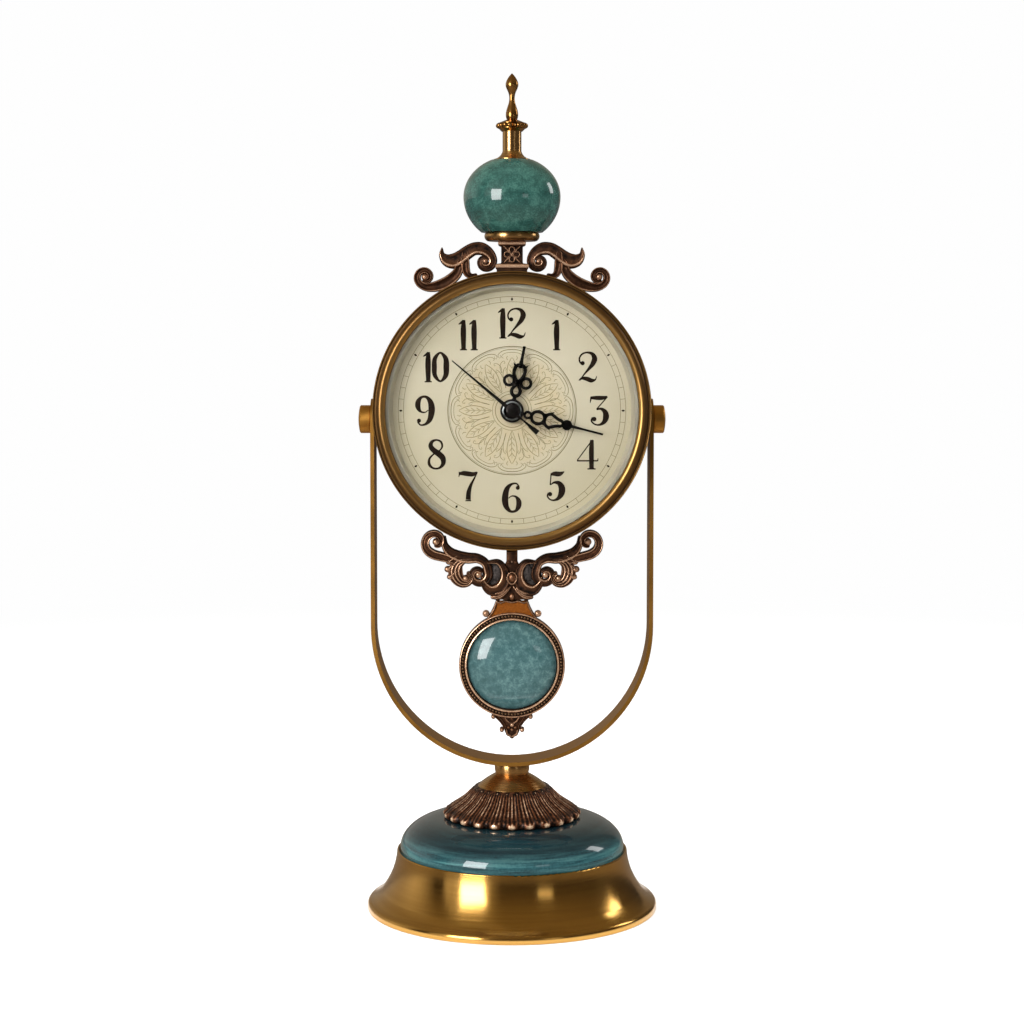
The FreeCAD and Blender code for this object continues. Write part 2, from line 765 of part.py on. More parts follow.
# Bezel: a convex brass ring with a groove and a thin outer bead
groove_radius = bezel_radius - bezel_bead
groove_y = bezel_groove_depth - bezel_front
swell_outer = groove_radius - bezel_groove_width
swell_middle = (bezel_bore + swell_outer) / 2
seat_radius = bezel_bore + ring_width / 2
bezel_seat = seat_radius + bezel_fit
save("bezel", spun([
    (bezel_bore, bezel_inner_drop - bezel_front),
    ((swell_middle, -bezel_front), (swell_outer, groove_y - bezel_bead)),
    (swell_outer, groove_y), (groove_radius, groove_y),
    ((bezel_radius - bezel_bead / 2, groove_y - bezel_bead / 2), (bezel_radius, groove_y)),
    (bezel_radius, bezel_back_y), (drum_radius + bezel_fit, bezel_back_y),
    (drum_radius + bezel_fit, drum_front_y - bezel_fit), (bezel_seat, drum_front_y - bezel_fit),
    (bezel_seat, glass_front_y), (bezel_bore, glass_front_y)]))
save("crystal", across(seat_radius, glass_front_y, glass_back_y))
ring_face_radius = seat_radius - ring_width
save("inner_ring", spun([
    (ring_face_radius, glass_back_y), (seat_radius, glass_back_y), (seat_radius, dial_front_y),
    (ring_face_radius - ring_bevel, dial_front_y)]))
save("dial_plate", across(seat_radius, dial_front_y, dial_back_y).cut(
    across(bushing_radius + dial_hole_clearance, dial_front_y - overrun, dial_back_y + overrun)))

# Movement case: a moulded box with the threaded bush in front, open behind
half_case = case_width / 2
half_room = half_case - case_wall
minute_bore = second_arbor_radius + running_clearance
hour_bore = minute_tube_radius + running_clearance
bushing_bore = hour_tube_radius + running_clearance
reverser_distance = (cannon_teeth + reverser_teeth) * motion_module / 2
setter_distance = (setter_teeth + reverser_teeth) * motion_module / 2
intermediate_distance = (second_teeth + intermediate_pinion_teeth) * second_module / 2
rotor_distance = (intermediate_teeth + rotor_teeth) * rotor_module / 2
reverser_x, reverser_z = polar(reverser_distance, reverser_angle)
setter_x, setter_z = polar(reverser_distance + setter_distance, reverser_angle)
middle_x, middle_z = polar(intermediate_distance, intermediate_angle)
rotor_dx, rotor_dz = polar(rotor_distance, rotor_angle)
rotor_x = middle_x + rotor_dx
rotor_z = middle_z + rotor_dz
hour_wheel_y = case_floor_y + 2 * plate_gap
reverser_y = hour_wheel_y + pinion_length
stud_end_y = reverser_y + wheel_thickness + plate_gap
case_box = block(-half_case, half_case, case_front_y, cover_front_y, head_z - half_case, head_z + half_case)
case_room = block(-half_room, half_room, case_floor_y, cover_front_y + overrun,
                  head_z - half_room, head_z + half_room)
setter_post = across(bearing_boss_radius, case_floor_y - plate_gap, reverser_y - 2 * plate_gap,
                     setter_x, head_z + setter_z)
reverser_post = across(small_arbor_radius, case_floor_y - plate_gap, stud_end_y, reverser_x,
                       head_z + reverser_z)
posts = []
for side_x in (post_inset - half_room, battery_offset - battery_radius - post_inset):
    for side_z in (post_inset - half_room, half_room - post_inset):
        posts.append(across(post_radius, case_floor_y - plate_gap, middle_front_y, side_x, head_z + side_z))
case = case_box.cut(case_room)
bushing = across(bushing_radius, case_front_y - bushing_reach, case_front_y + plate_gap)
case = joined([case, bushing, setter_post, reverser_post] + posts).cut([
    across(bushing_bore, case_front_y - 2 * bushing_reach, case_floor_y + overrun),
    across(small_arbor_radius + running_clearance, case_floor_y, stud_end_y, setter_x,
           head_z + setter_z)])
save("movement_case", case)

# Nut and washer in front of the dial, which hold movement and dial together
nut_back_y = dial_front_y - nut_washer
nut_corners = ring_points((0, 0), nut_radius, 0, FULL_TURN, 7)[:6]
nut = plate(nut_corners, nut_back_y - nut_thickness, nut_back_y, 0, head_z)
nut = joined([nut, across(nut_radius, nut_back_y, dial_front_y)])
save("mount_nut", nut.cut(across(bushing_radius + running_clearance, nut_back_y - nut_thickness - overrun,
                                 dial_front_y + overrun)))

# Middle plate: carries the minute arbor and the small wheels
middle_left = plate_gap - half_room
well_left = battery_offset - battery_radius - battery_clearance - contact_thickness * 2
middle_right = well_left - plate_gap
middle_plate = block(middle_left, middle_right, middle_front_y, middle_back_y,
                     head_z - half_room + plate_gap, head_z + half_room - plate_gap)
bearing = train_arbor_radius + running_clearance
middle_plate = middle_plate.cut([
    across(hour_bore, middle_front_y - overrun, middle_back_y + overrun),
    across(setter_stem_radius + 2 * plate_gap, middle_front_y - overrun, middle_back_y + overrun,
           setter_x, head_z + setter_z),
    across(bearing, middle_back_y - bearing_depth, middle_back_y + overrun, middle_x, head_z + middle_z),
    across(bearing, middle_back_y - bearing_depth, middle_back_y + overrun, rotor_x, head_z + rotor_z)])
save("middle_plate", middle_plate)

# Movement cover: rear plate with bearing bosses, the battery well and the pendulum's pivot
well_wall = 2 * contact_thickness
well_half = battery_radius + battery_clearance
well_half_length = battery_length / 2 + battery_tip + battery_clearance
well_right = battery_offset + well_half
battery_y = cover_back_y - battery_radius - battery_sink
well_floor_y = battery_y - battery_radius - battery_clearance
boss_front_y = cover_front_y - bearing_boss_radius
rear_plate = block(-half_case, half_case, cover_front_y, cover_back_y, head_z - half_case, head_z + half_case)
well_box = block(well_left, half_room - plate_gap, well_floor_y - well_wall, cover_front_y + plate_gap,
                 head_z - half_room + plate_gap, head_z + half_room - plate_gap)
well_room = block(well_left + well_wall, well_right, well_floor_y, cover_back_y + overrun,
                  head_z - well_half_length, head_z + well_half_length)
bosses = [across(bearing_boss_radius, boss_front_y, cover_front_y + plate_gap, x, head_z + z)
          for x, z in ((0, 0), (middle_x, middle_z), (rotor_x, rotor_z))]
pivot_z_pendulum = head_z + pivot_rise
pivot_pin = across(pivot_radius, cover_back_y - plate_gap, cover_back_y + pivot_reach, 0, pivot_z_pendulum)
pivot_shoulder = across(pivot_shoulder_radius, cover_back_y - plate_gap, hanger_front_y - plate_gap, 0,
                        pivot_z_pendulum)
blind_y = boss_front_y + bearing_depth * 2
movement_cover = joined([rear_plate, well_box, pivot_pin, pivot_shoulder] + bosses).cut([
    well_room,
    across(setter_stem_radius + running_clearance, cover_front_y - overrun, cover_back_y + overrun,
           setter_x, head_z + setter_z),
    across(bearing, boss_front_y - overrun, blind_y),
    across(bearing, boss_front_y - overrun, blind_y, middle_x, head_z + middle_z),
    across(bearing, boss_front_y - overrun, blind_y, rotor_x, head_z + rotor_z)])
save("movement_cover", movement_cover)

# Battery and its two contacts
battery_body = Part.makeCylinder(battery_radius, battery_length,
                                 Vector(battery_offset, battery_y, head_z - battery_length / 2), AXIS_Z)
battery_cap = Part.makeCylinder(battery_tip_radius, battery_length + battery_tip,
                                Vector(battery_offset, battery_y, head_z - battery_length / 2), AXIS_Z)
save("battery", joined([battery_body, battery_cap]))
contacts = []
for low in (head_z - well_half_length, head_z + well_half_length - contact_thickness):
    contacts.append(block(battery_offset - contact_width / 2, battery_offset + contact_width / 2,
                          battery_y - contact_width / 2, battery_y + contact_width / 2,
                          low, low + contact_thickness))
save("battery_contacts", Part.makeCompound(contacts))

# Motion works: minute hand to hour hand at 12 to 1, and the setting knob behind
cannon_front_y = reverser_y - plate_gap
cannon_back_y = reverser_y + wheel_thickness + plate_gap
hour_hand_back_y = case_front_y - bushing_reach - plate_gap
hour_hand_front_y = hour_hand_back_y - hand_thickness
minute_hand_back_y = hour_hand_front_y - hand_gap
minute_hand_front_y = minute_hand_back_y - hand_thickness
second_hand_back_y = minute_hand_front_y - hand_gap
second_hand_front_y = second_hand_back_y - hand_thickness
cannon = joined([gear(cannon_teeth, motion_module, cannon_front_y, cannon_back_y, 0, head_z, reverser_angle),
                 across(minute_tube_radius, minute_hand_front_y, middle_back_y)])
save("cannon_pinion", cannon.cut(across(minute_bore, minute_hand_front_y - overrun, middle_back_y + overrun)))
hour_wheel = joined([gear(hour_teeth, motion_module, hour_wheel_y, hour_wheel_y + wheel_thickness, 0, head_z,
                          reverser_angle),
                     across(hour_tube_radius, hour_hand_front_y, hour_wheel_y + wheel_thickness / 2)])
save("hour_wheel", hour_wheel.cut(across(hour_bore, hour_hand_front_y - overrun, reverser_y)))
back_to_centre = reverser_angle + 180
reverser_phase = back_to_centre + FULL_TURN / 2 / reverser_teeth
pinion_phase = back_to_centre + FULL_TURN / 2 / reverser_pinion_teeth
reverser = joined([
    gear(reverser_teeth, motion_module, reverser_y, reverser_y + wheel_thickness, reverser_x,
         head_z + reverser_z, reverser_phase),
    gear(reverser_pinion_teeth, motion_module, hour_wheel_y - plate_gap, reverser_y + wheel_thickness / 2,
         reverser_x, head_z + reverser_z, pinion_phase)])
save("reverser_wheel", reverser.cut(across(small_arbor_radius + running_clearance, case_front_y, stud_end_y,
                                           reverser_x, head_z + reverser_z)))
setter_phase = back_to_centre + (FULL_TURN / 2 if reverser_teeth % 2 else 0) / setter_teeth
knob_front_y = cover_back_y + setter_knob_gap
knob_face = knob_front_y + setter_knob_height
setter = joined([
    gear(setter_teeth, motion_module, reverser_y - plate_gap, cannon_back_y, setter_x, head_z + setter_z,
         setter_phase),
    across(small_arbor_radius, case_floor_y + plate_gap, cannon_back_y, setter_x, head_z + setter_z),
    across(setter_stem_radius, cannon_back_y - plate_gap, knob_front_y + plate_gap, setter_x,
           head_z + setter_z),
    spun([(0, knob_front_y), (setter_knob_radius, knob_front_y),
          (setter_knob_radius, knob_face - setter_knob_round),
          (setter_knob_radius - setter_knob_round, knob_face), (0, knob_face)], setter_x, head_z + setter_z)])
save("set_knob", setter)

# Going train: rotor, intermediate wheel and second wheel
train_front_y = middle_back_y + plate_gap
second_wheel_y = middle_back_y + pinion_length
upper_wheel_y = second_wheel_y + 2 * wheel_thickness
arbor_end_y = blind_y - plate_gap
second_wheel = joined([
    gear(second_teeth, second_module, second_wheel_y, second_wheel_y + wheel_thickness / 2, 0, head_z,
         intermediate_angle),
    across(second_arbor_radius, second_hand_back_y - plate_gap, arbor_end_y)])
save("second_wheel", second_wheel)
middle_phase = intermediate_angle + 180 + FULL_TURN / 2 / intermediate_pinion_teeth
intermediate = joined([
    gear(intermediate_pinion_teeth, second_module, second_wheel_y - plate_gap,
         second_wheel_y + wheel_thickness, middle_x, head_z + middle_z, middle_phase),
    gear(intermediate_teeth, rotor_module, upper_wheel_y, upper_wheel_y + wheel_thickness / 2, middle_x,
         head_z + middle_z, rotor_angle),
    across(train_arbor_radius, middle_back_y - bearing_depth + plate_gap, arbor_end_y, middle_x,
           head_z + middle_z)])
save("intermediate_wheel", intermediate)
rotor_phase = rotor_angle + 180 + FULL_TURN / 2 / rotor_teeth
rotor = joined([
    gear(rotor_teeth, rotor_module, upper_wheel_y - plate_gap, upper_wheel_y + wheel_thickness, rotor_x,
         head_z + rotor_z, rotor_phase),
    across(magnet_radius, train_front_y + plate_gap, train_front_y + magnet_length, rotor_x,
           head_z + rotor_z),
    across(train_arbor_radius, middle_back_y - bearing_depth + plate_gap, arbor_end_y, rotor_x,
           head_z + rotor_z)])
save("stepper_rotor", rotor)

# Stator, coil and circuit board
stator_front_y = train_front_y + magnet_length / 2
coil_x = coil_radius + plate_gap - half_room
stator = block(coil_x - coil_radius / 2, rotor_x + stator_half + stator_gap, stator_front_y,
               stator_front_y + stator_thickness, head_z + rotor_z - coil_length / 2,
               head_z + rotor_z + coil_length / 2)
stator = stator.cut([
    across(magnet_radius + stator_gap, stator_front_y - overrun, stator_front_y + overrun, rotor_x,
           head_z + rotor_z),
    across(setter_stem_radius + stator_gap, stator_front_y - overrun, stator_front_y + overrun, setter_x,
           head_z + setter_z),
    across(second_module * second_teeth / 2 + stator_gap, stator_front_y - overrun,
           stator_front_y + overrun)])
save("stator_plate", stator)
coil_front_y = stator_front_y + stator_thickness
coil_y = coil_front_y + coil_radius
coil_fill_share = 0.85
coil_low = head_z + rotor_z - coil_length / 2
coil = joined([
    upright(coil_radius * coil_fill_share, coil_low, coil_low + coil_length, coil_x, coil_y),
    upright(coil_radius, coil_low, coil_low + coil_flange, coil_x, coil_y),
    upright(coil_radius, coil_low + coil_length - coil_flange, coil_low + coil_length, coil_x, coil_y)])
save("drive_coil", coil)
board_y = cover_front_y - board_thickness
save("circuit_board", block(-half_room + plate_gap, middle_right - plate_gap, board_y, cover_front_y,
                            head_z - half_room + plate_gap, head_z - half_room / 3))

# Hands: blued-black stamped plates on their tubes


def hand_disc(radius, height, front, back):
    """Round part of a hand that lies straight up from the hub."""
    return across(radius, front, back, 0, head_z + height)


def needle(low, high, low_half, high_half, front, back):
    """Tapered straight part of a hand."""
    return plate([(-low_half, low), (low_half, low), (high_half, high), (-high_half, high)], front, back,
                 0, head_z)


def aimed(shape, clock_angle):
    """Turn a hand clockwise from twelve, as seen from the front."""
    turned_hand = shape.copy()
    turned_hand.rotate(Vector(0, 0, head_z), AXIS_Y, clock_angle)
    return turned_hand


lobe_shares = {"lobe": 0.33, "kite": 0.52, "point": 0.70}
lobe_spread_share = 0.9
hole_front = second_hand_front_y - overrun
hole_back = hour_hand_back_y + overrun
lobe_z = hour_hand_length * lobe_shares["lobe"]
kite_z = hour_hand_length * lobe_shares["kite"]
point_z = hour_hand_length * lobe_shares["point"]
hour_front, hour_back = hour_hand_front_y, hour_hand_back_y
hour_parts = [hand_disc(hub_radius, 0, hour_front, hour_back),
              needle(0, hour_hand_length, needle_foot_half, needle_tip_half, hour_front, hour_back)]
hour_holes = [across(hour_tube_radius, hole_front, hole_back)]
for side in (-1, 1):
    hour_parts.append(across(lobe_radius, hour_front, hour_back, side * lobe_radius * lobe_spread_share,
                             head_z + lobe_z))
    hour_holes.append(across(lobe_hole, hole_front, hole_back, side * lobe_radius, head_z + lobe_z))
kite = plate([(0, lobe_z), (kite_half, kite_z), (0, point_z), (-kite_half, kite_z)], hour_front, hour_back,
             0, head_z)
kite_cut_share = 0.5
kite_cut = plate([(0, kite_z - lobe_radius), (kite_half * kite_cut_share, kite_z),
                  (0, kite_z + lobe_radius), (-kite_half * kite_cut_share, kite_z)],
                 hole_front, hole_back, 0, head_z)
hour_hand = joined(hour_parts + [kite]).cut(hour_holes + [kite_cut])
save("hour_hand", aimed(hour_hand, hour_angle))

bulb_shares = {"first": 0.30, "second": 0.44, "disc": 0.61}
minute_front, minute_back = minute_hand_front_y, minute_hand_back_y
minute_parts = [hand_disc(cap_radius, 0, minute_front, minute_back),
                needle(0, minute_hand_length, needle_foot_half, needle_tip_half, minute_front, minute_back),
                hand_disc(disc_radius, minute_hand_length * bulb_shares["disc"], minute_front, minute_back)]
minute_holes = [across(minute_tube_radius, hole_front, hole_back)]
for name in ("first", "second"):
    height = minute_hand_length * bulb_shares[name]
    for side in (-1, 1):
        place = (side * bulb_spread, head_z + height)
        minute_parts.append(across(bulb_radius, minute_front, minute_back, *place))
        minute_holes.append(across(bulb_hole, hole_front, hole_back, *place))
save("minute_hand", aimed(joined(minute_parts).cut(minute_holes), minute_angle))

second_front, second_back = second_hand_front_y, second_hand_back_y
cap = spun([(0, second_back), (cap_radius, second_back), (cap_radius, second_front),
            crown(cap_radius, second_front, second_front - cap_height)])
second_hand = joined([
    needle(-second_tail_length, second_hand_length, tail_half_width, needle_tip_half, second_front,
           second_back), cap]).cut(across(second_arbor_radius, second_front + plate_gap, hole_back))
save("second_hand", aimed(second_hand, second_angle))

# Pendulum drive: a coil unit on the movement, a magnet on the hanger
coil_case_low = head_z - half_case + well_wall
coil_case_back_y = cover_back_y + coil_case_depth
coil_unit = block(-coil_case_left, coil_case_right, cover_back_y, coil_case_back_y,
                  coil_case_low, coil_case_low + coil_case_height)
save("pendulum_coil", coil_unit.makeFillet(coil_case_round, [
    edge for edge in coil_unit.Edges if abs(edge.tangentAt(0).y) > 0.9]))
magnet_z = coil_case_low + coil_case_height / 2
save("drive_magnet", across(drive_magnet_radius, hanger_front_y - drive_magnet_thickness, hanger_front_y, 0,
                            magnet_z))
hanger_end_z = pivot_z_pendulum - hanger_length
hook_z = hanger_end_z + rod_overlap / 2
hanger = joined([
    block(-hanger_width / 2, hanger_width / 2, hanger_front_y, hanger_back_y, hanger_end_z, pivot_z_pendulum),
    across(hanger_width / 2, hanger_front_y, hanger_back_y, 0, pivot_z_pendulum),
    across(hook_radius, hanger_front_y, rod_back_y + hanger_thickness, 0, hook_z)])
save("pendulum_hanger", hanger.cut(across(pivot_radius + running_clearance, hanger_front_y - overrun,
                                          hanger_back_y + overrun, 0, pivot_z_pendulum)))

# Rod: runs from the hook down behind both castings
ornament_top = head_z - drum_radius + ornament_lap
neck_top = ornament_top - ornament_height
medallion_z = neck_top - neck_piece_length - medallion_radius
rod_top = hanger_end_z + rod_overlap
rod_low = medallion_z + back_disc_radius + seat_clearance
castings_back_y = hanger_back_y
rod_bar = block(-rod_width / 2, rod_width / 2, castings_back_y, rod_back_y, rod_low, rod_top)
save("pendulum_rod", rod_bar.cut(across(hook_radius, castings_back_y - overrun, rod_back_y + overrun, 0,
                                        hook_z)))

# Scroll casting: on each side an outer spiral, a long arm that curls in, a leaf and a shell, and
# a heart with a boss between them. Shares are of the half width and the height, down from the top.
front_y = castings_back_y - ornament_thickness
ow, oh, ot = ornament_half_width, ornament_height, ornament_top
outer_strand_shares = [(0.670, 0.410, 0.040), (0.764, 0.376, 0.042)]
long_arm_shares = [(0.751, 0.088, 0.024), (0.745, 0.202, 0.049), (0.690, 0.300, 0.068),
                   (0.604, 0.356, 0.078), (0.502, 0.385, 0.078), (0.375, 0.395, 0.061),
                   (0.302, 0.451, 0.051)]
leaf_shares = [(0.623, 0.356, 0.063), (0.645, 0.463, 0.098), (0.640, 0.580, 0.100),
               (0.604, 0.688, 0.078), (0.543, 0.754, 0.054), (0.479, 0.737, 0.037),
               (0.453, 0.663, 0.030), (0.490, 0.605, 0.022)]
leaf_lobe_shares = [(0.702, 0.454), (0.690, 0.576), (0.653, 0.673)]
outer_turn = (249, -60)
inner_turn = (27, -300)
outer_eye_shares = (0.845, 0.149)
inner_eye_shares = (0.372, 0.622)
leaf_eye_shares = (0.517, 0.673)
lobe_size_share = 0.054
eye_size_share = 0.048
outer_spiral_shares = ((0.190, 0.039), (0.037, 0.020))
inner_spiral_shares = ((0.146, 0.054), (0.054, 0.022))
shell_shares = {"top": (0.20, 0.437), "inner": (0.045, 0.68), "foot": (0.20, 0.917), "outer": (0.345, 0.68)}
shell_groove_share = 0.12
heart_shares = [(0.085, 0.40), (0.13, 0.52), (0.17, 0.80), (0.20, 0.88), (0.20, 0.95), (0.14, 1.0)]
heart_outline_shares = heart_shares + [(-a, b) for a, b in reversed(heart_shares)]
boss_place_share = 0.668
boss_size_share = 0.078


def half_ornament():
    """Left half of the scroll casting, as overlapping solids."""
    def spot(shares):
        return -ow * shares[0], ot - oh * shares[1]

    def curl(eye_shares, spiral_shares, angles):
        radii, halves = ([oh * a for a in pair] for pair in spiral_shares)
        return spiral(spot(eye_shares), radii, angles, halves, spiral_count)

    strand = stations(outer_strand_shares, ow, oh, ot)
    strand += curl(outer_eye_shares, outer_spiral_shares, outer_turn)
    arm = stations(long_arm_shares, ow, oh, ot)
    arm += curl(inner_eye_shares, inner_spiral_shares, inner_turn)
    leaf = stations(leaf_shares, ow, oh, ot)
    pieces = raised(strand, front_y, castings_back_y, ornament_relief)
    pieces += raised(arm, front_y, castings_back_y, ornament_relief)
    pieces += raised(leaf, front_y, castings_back_y, ornament_relief)
    for shares in leaf_lobe_shares:
        x, z = spot(shares)
        pieces.append(across(oh * lobe_size_share, front_y, castings_back_y, x, z))
    for shares in (outer_eye_shares, inner_eye_shares, leaf_eye_shares):
        x, z = spot(shares)
        pieces.append(across(oh * eye_size_share, front_y - ornament_relief, castings_back_y, x, z))
    corners = {name: spot(shares) for name, shares in shell_shares.items()}
    shell = plate([corners["top"], (corners["inner"], corners["foot"]), (corners["outer"], corners["top"])],
                  front_y - ornament_relief / 2, castings_back_y)
    x, z = corners["outer"]
    groove = across(oh * shell_groove_share, front_y - overrun, front_y + ornament_relief / 2,
                    x + oh * shell_groove_share, z)
    return [shell.cut(groove)] + pieces


half_casting = half_ornament()
heart = plate([(ow * a, ot - oh * b) for a, b in heart_outline_shares], front_y + ornament_relief / 2,
              castings_back_y)
oval_boss = across(oh * boss_size_share, front_y - 2 * ornament_relief, castings_back_y, 0,
                   ot - oh * boss_place_share)
other_half = [mirrored(shape) for shape in half_casting]
save("pendulum_scroll", joined(half_casting + other_half + [heart, oval_boss]))

# Medallion: a beaded ring with a necking piece above and a small drop below
ring_front_y = castings_back_y - medallion_depth
channel_y = ring_front_y + bead_channel
ring = spun([(medallion_bore, ring_front_y + medallion_lip), (medallion_bore + medallion_lip, ring_front_y),
             (bead_circle - bead_radius, ring_front_y + plate_gap), (bead_circle - bead_radius, channel_y),
             (bead_circle + bead_radius, channel_y), (bead_circle + bead_radius, ring_front_y + plate_gap),
             ((medallion_radius - medallion_lip / 3, ring_front_y + medallion_lip / 3),
              (medallion_radius, ring_front_y + medallion_lip)),
             (medallion_radius, castings_back_y), (medallion_bore, castings_back_y)], 0, medallion_z)
neck_low = medallion_radius - medallion_lip
neck_high = neck_top - medallion_z
neck_waist = (neck_piece_top + neck_piece_foot) / 2 - medallion_lip
neck_foot_z = math.sqrt(neck_low ** 2 - neck_piece_foot ** 2)
neck_middle_z = (neck_foot_z + neck_high) / 2
neck_piece = plate([
    (-neck_piece_foot, neck_foot_z), (neck_piece_foot, neck_foot_z),
    ((neck_waist, neck_middle_z), (neck_piece_top, neck_high)), (-neck_piece_top, neck_high),
    ((-neck_waist, neck_middle_z), (-neck_piece_foot, neck_foot_z))],
    ring_front_y + medallion_lip, castings_back_y, 0, medallion_z)
neck_piece = neck_piece.cut(across(medallion_bore + medallion_lip, ring_front_y, castings_back_y + overrun,
                                   0, medallion_z))
side_ball_sink_share = 0.25
side_ball_reach = medallion_radius + side_ball_radius * (1 - side_ball_sink_share)
side_balls = []
for angle in (side_ball_angle, 180 - side_ball_angle):
    x, z = polar(side_ball_reach, angle)
    side_balls.append(Part.makeSphere(side_ball_radius, Vector(x, ring_front_y + medallion_depth / 2,
                                                               medallion_z + z)))
dh, dw = finial_drop_length, finial_drop_half_width
drop_top = -medallion_radius + medallion_lip
drop_side_shares = [(0.95, 0.05), (0.60, 0.30), (0.45, 0.55), (0.62, 0.72), (0.35, 0.88)]
drop_shares = drop_side_shares + [(0.0, 1.0)] + [(-a, b) for a, b in reversed(drop_side_shares)]
drop_plate = plate([(a * dw, drop_top - b * dh) for a, b in drop_shares], ring_front_y + medallion_lip,
                   castings_back_y, 0, medallion_z)
drop_plate = drop_plate.cut(across(medallion_bore + medallion_lip, ring_front_y, castings_back_y + overrun, 0,
                                   medallion_z))
drop_curls = [across(dh * size, ring_front_y + medallion_lip / 2, castings_back_y, a * dw,
                     medallion_z + drop_top - b * dh)
              for a, b, size in ((-0.98, 0.13, 0.13), (0.98, 0.13, 0.13), (-0.52, 0.74, 0.12),
                                 (0.52, 0.74, 0.12), (0.0, 0.48, 0.16))]
save("medallion_frame", joined([ring, neck_piece, drop_plate] + side_balls + drop_curls))
save("bead_ring", spun([
    (bead_circle - bead_radius, channel_y), (bead_circle + bead_radius, channel_y),
    ((bead_circle, channel_y - bead_radius), (bead_circle - bead_radius, channel_y))], 0, medallion_z))
cabochon_back_y = castings_back_y - cabochon_back + back_disc_thickness
cabochon_edge_y = ring_front_y + medallion_lip * 2
save("cabochon", spun([
    (0, cabochon_back_y), (cabochon_radius, cabochon_back_y), (cabochon_radius, cabochon_edge_y),
    crown(cabochon_radius, cabochon_edge_y, cabochon_edge_y - cabochon_bulge)], 0, medallion_z))
save("medallion_back", joined([
    across(back_disc_radius, castings_back_y, castings_back_y + back_disc_thickness, 0, medallion_z),
    across(cabochon_radius, cabochon_back_y, castings_back_y + back_disc_thickness / 2, 0, medallion_z)]))
pendulum_screws = []
for z in (ornament_top - oh * boss_place_share, rod_low + rod_width / 2):
    screw = spun([(0, rod_back_y), (screw_head_radius, rod_back_y),
                  crown(screw_head_radius, rod_back_y, rod_back_y + screw_head_height)], 0, z)
    pendulum_screws.append(screw)
save("pendulum_screws", Part.makeCompound(pendulum_screws))

# Crest pedestal: a moulded block that stands on the drum, its shaft necked between two bands
pedestal_shares = {"foot": 0.62, "step": 0.56, "shaft": 0.16}
foot_low = drum_top - pedestal_sink
foot_high = pedestal_top - pedestal_height * pedestal_shares["foot"]
step_high = pedestal_top - pedestal_height * pedestal_shares["step"]
shaft_high = pedestal_top - pedestal_height * pedestal_shares["shaft"]


def tier(half, low, high):
    """Square block about the middle of the clock."""
    return block(-half, half, -half, half, low, high)


pedestal_tiers = [tier(pedestal_foot_half, foot_low, foot_high),
                  tier(pedestal_step_half, foot_high, step_high),
                  tier(pedestal_shaft_half, step_high, shaft_high),
                  tier(pedestal_top_half, shaft_high, pedestal_top)]
crest_hole = crest_bolt_radius + bolt_clearance
pedestal = joined(pedestal_tiers).cut([across(drum_radius, -drum_depth, drum_depth),
                                       upright(crest_hole, head_z, pedestal_top + overrun)])
save("crest_pedestal", pedestal)

# Crest scrolls: an arm that curls in beside the pedestal and sweeps out to a leaf tip, a lower
# arm that ends in a spiral, and a foot that stands on the drum
crest_front = -crest_thickness / 2
crest_back = crest_thickness / 2
cw, ch = crest_half_width, crest_rise
crest_top = pedestal_top
upper_arm_shares = [(0.718, 0.180, 0.015), (0.712, 0.288, 0.050), (0.670, 0.370, 0.100),
                    (0.596, 0.393, 0.125), (0.526, 0.325, 0.115), (0.454, 0.217, 0.105),
                    (0.391, 0.142, 0.100), (0.319, 0.122, 0.110), (0.228, 0.214, 0.075)]
lower_arm_shares = [(0.530, 0.454, 0.050), (0.561, 0.634, 0.080), (0.637, 0.780, 0.088),
                    (0.733, 0.881, 0.088), (0.812, 0.919, 0.075), (0.874, 0.939, 0.061)]
leg_shares = [(0.465, 0.285, 0.080), (0.472, 0.420, 0.078), (0.472, 0.539, 0.078),
              (0.453, 0.640, 0.065), (0.414, 0.678, 0.048), (0.367, 0.658, 0.034)]
crest_inner_turn = (31, -290)
crest_outer_turn = (-135, -460)
crest_inner_eye_shares = (0.274, 0.400)
crest_outer_eye_shares = (0.891, 0.708)
crest_inner_spiral_shares = ((0.159, 0.058), (0.051, 0.024))
crest_outer_spiral_shares = ((0.183, 0.075), (0.051, 0.027))
crest_eye_share = 0.072
toe_shares = (0.475, 0.395)
bridge_shares = (0.195, 0.16, 0.44)
bridge_depth_share = 0.6


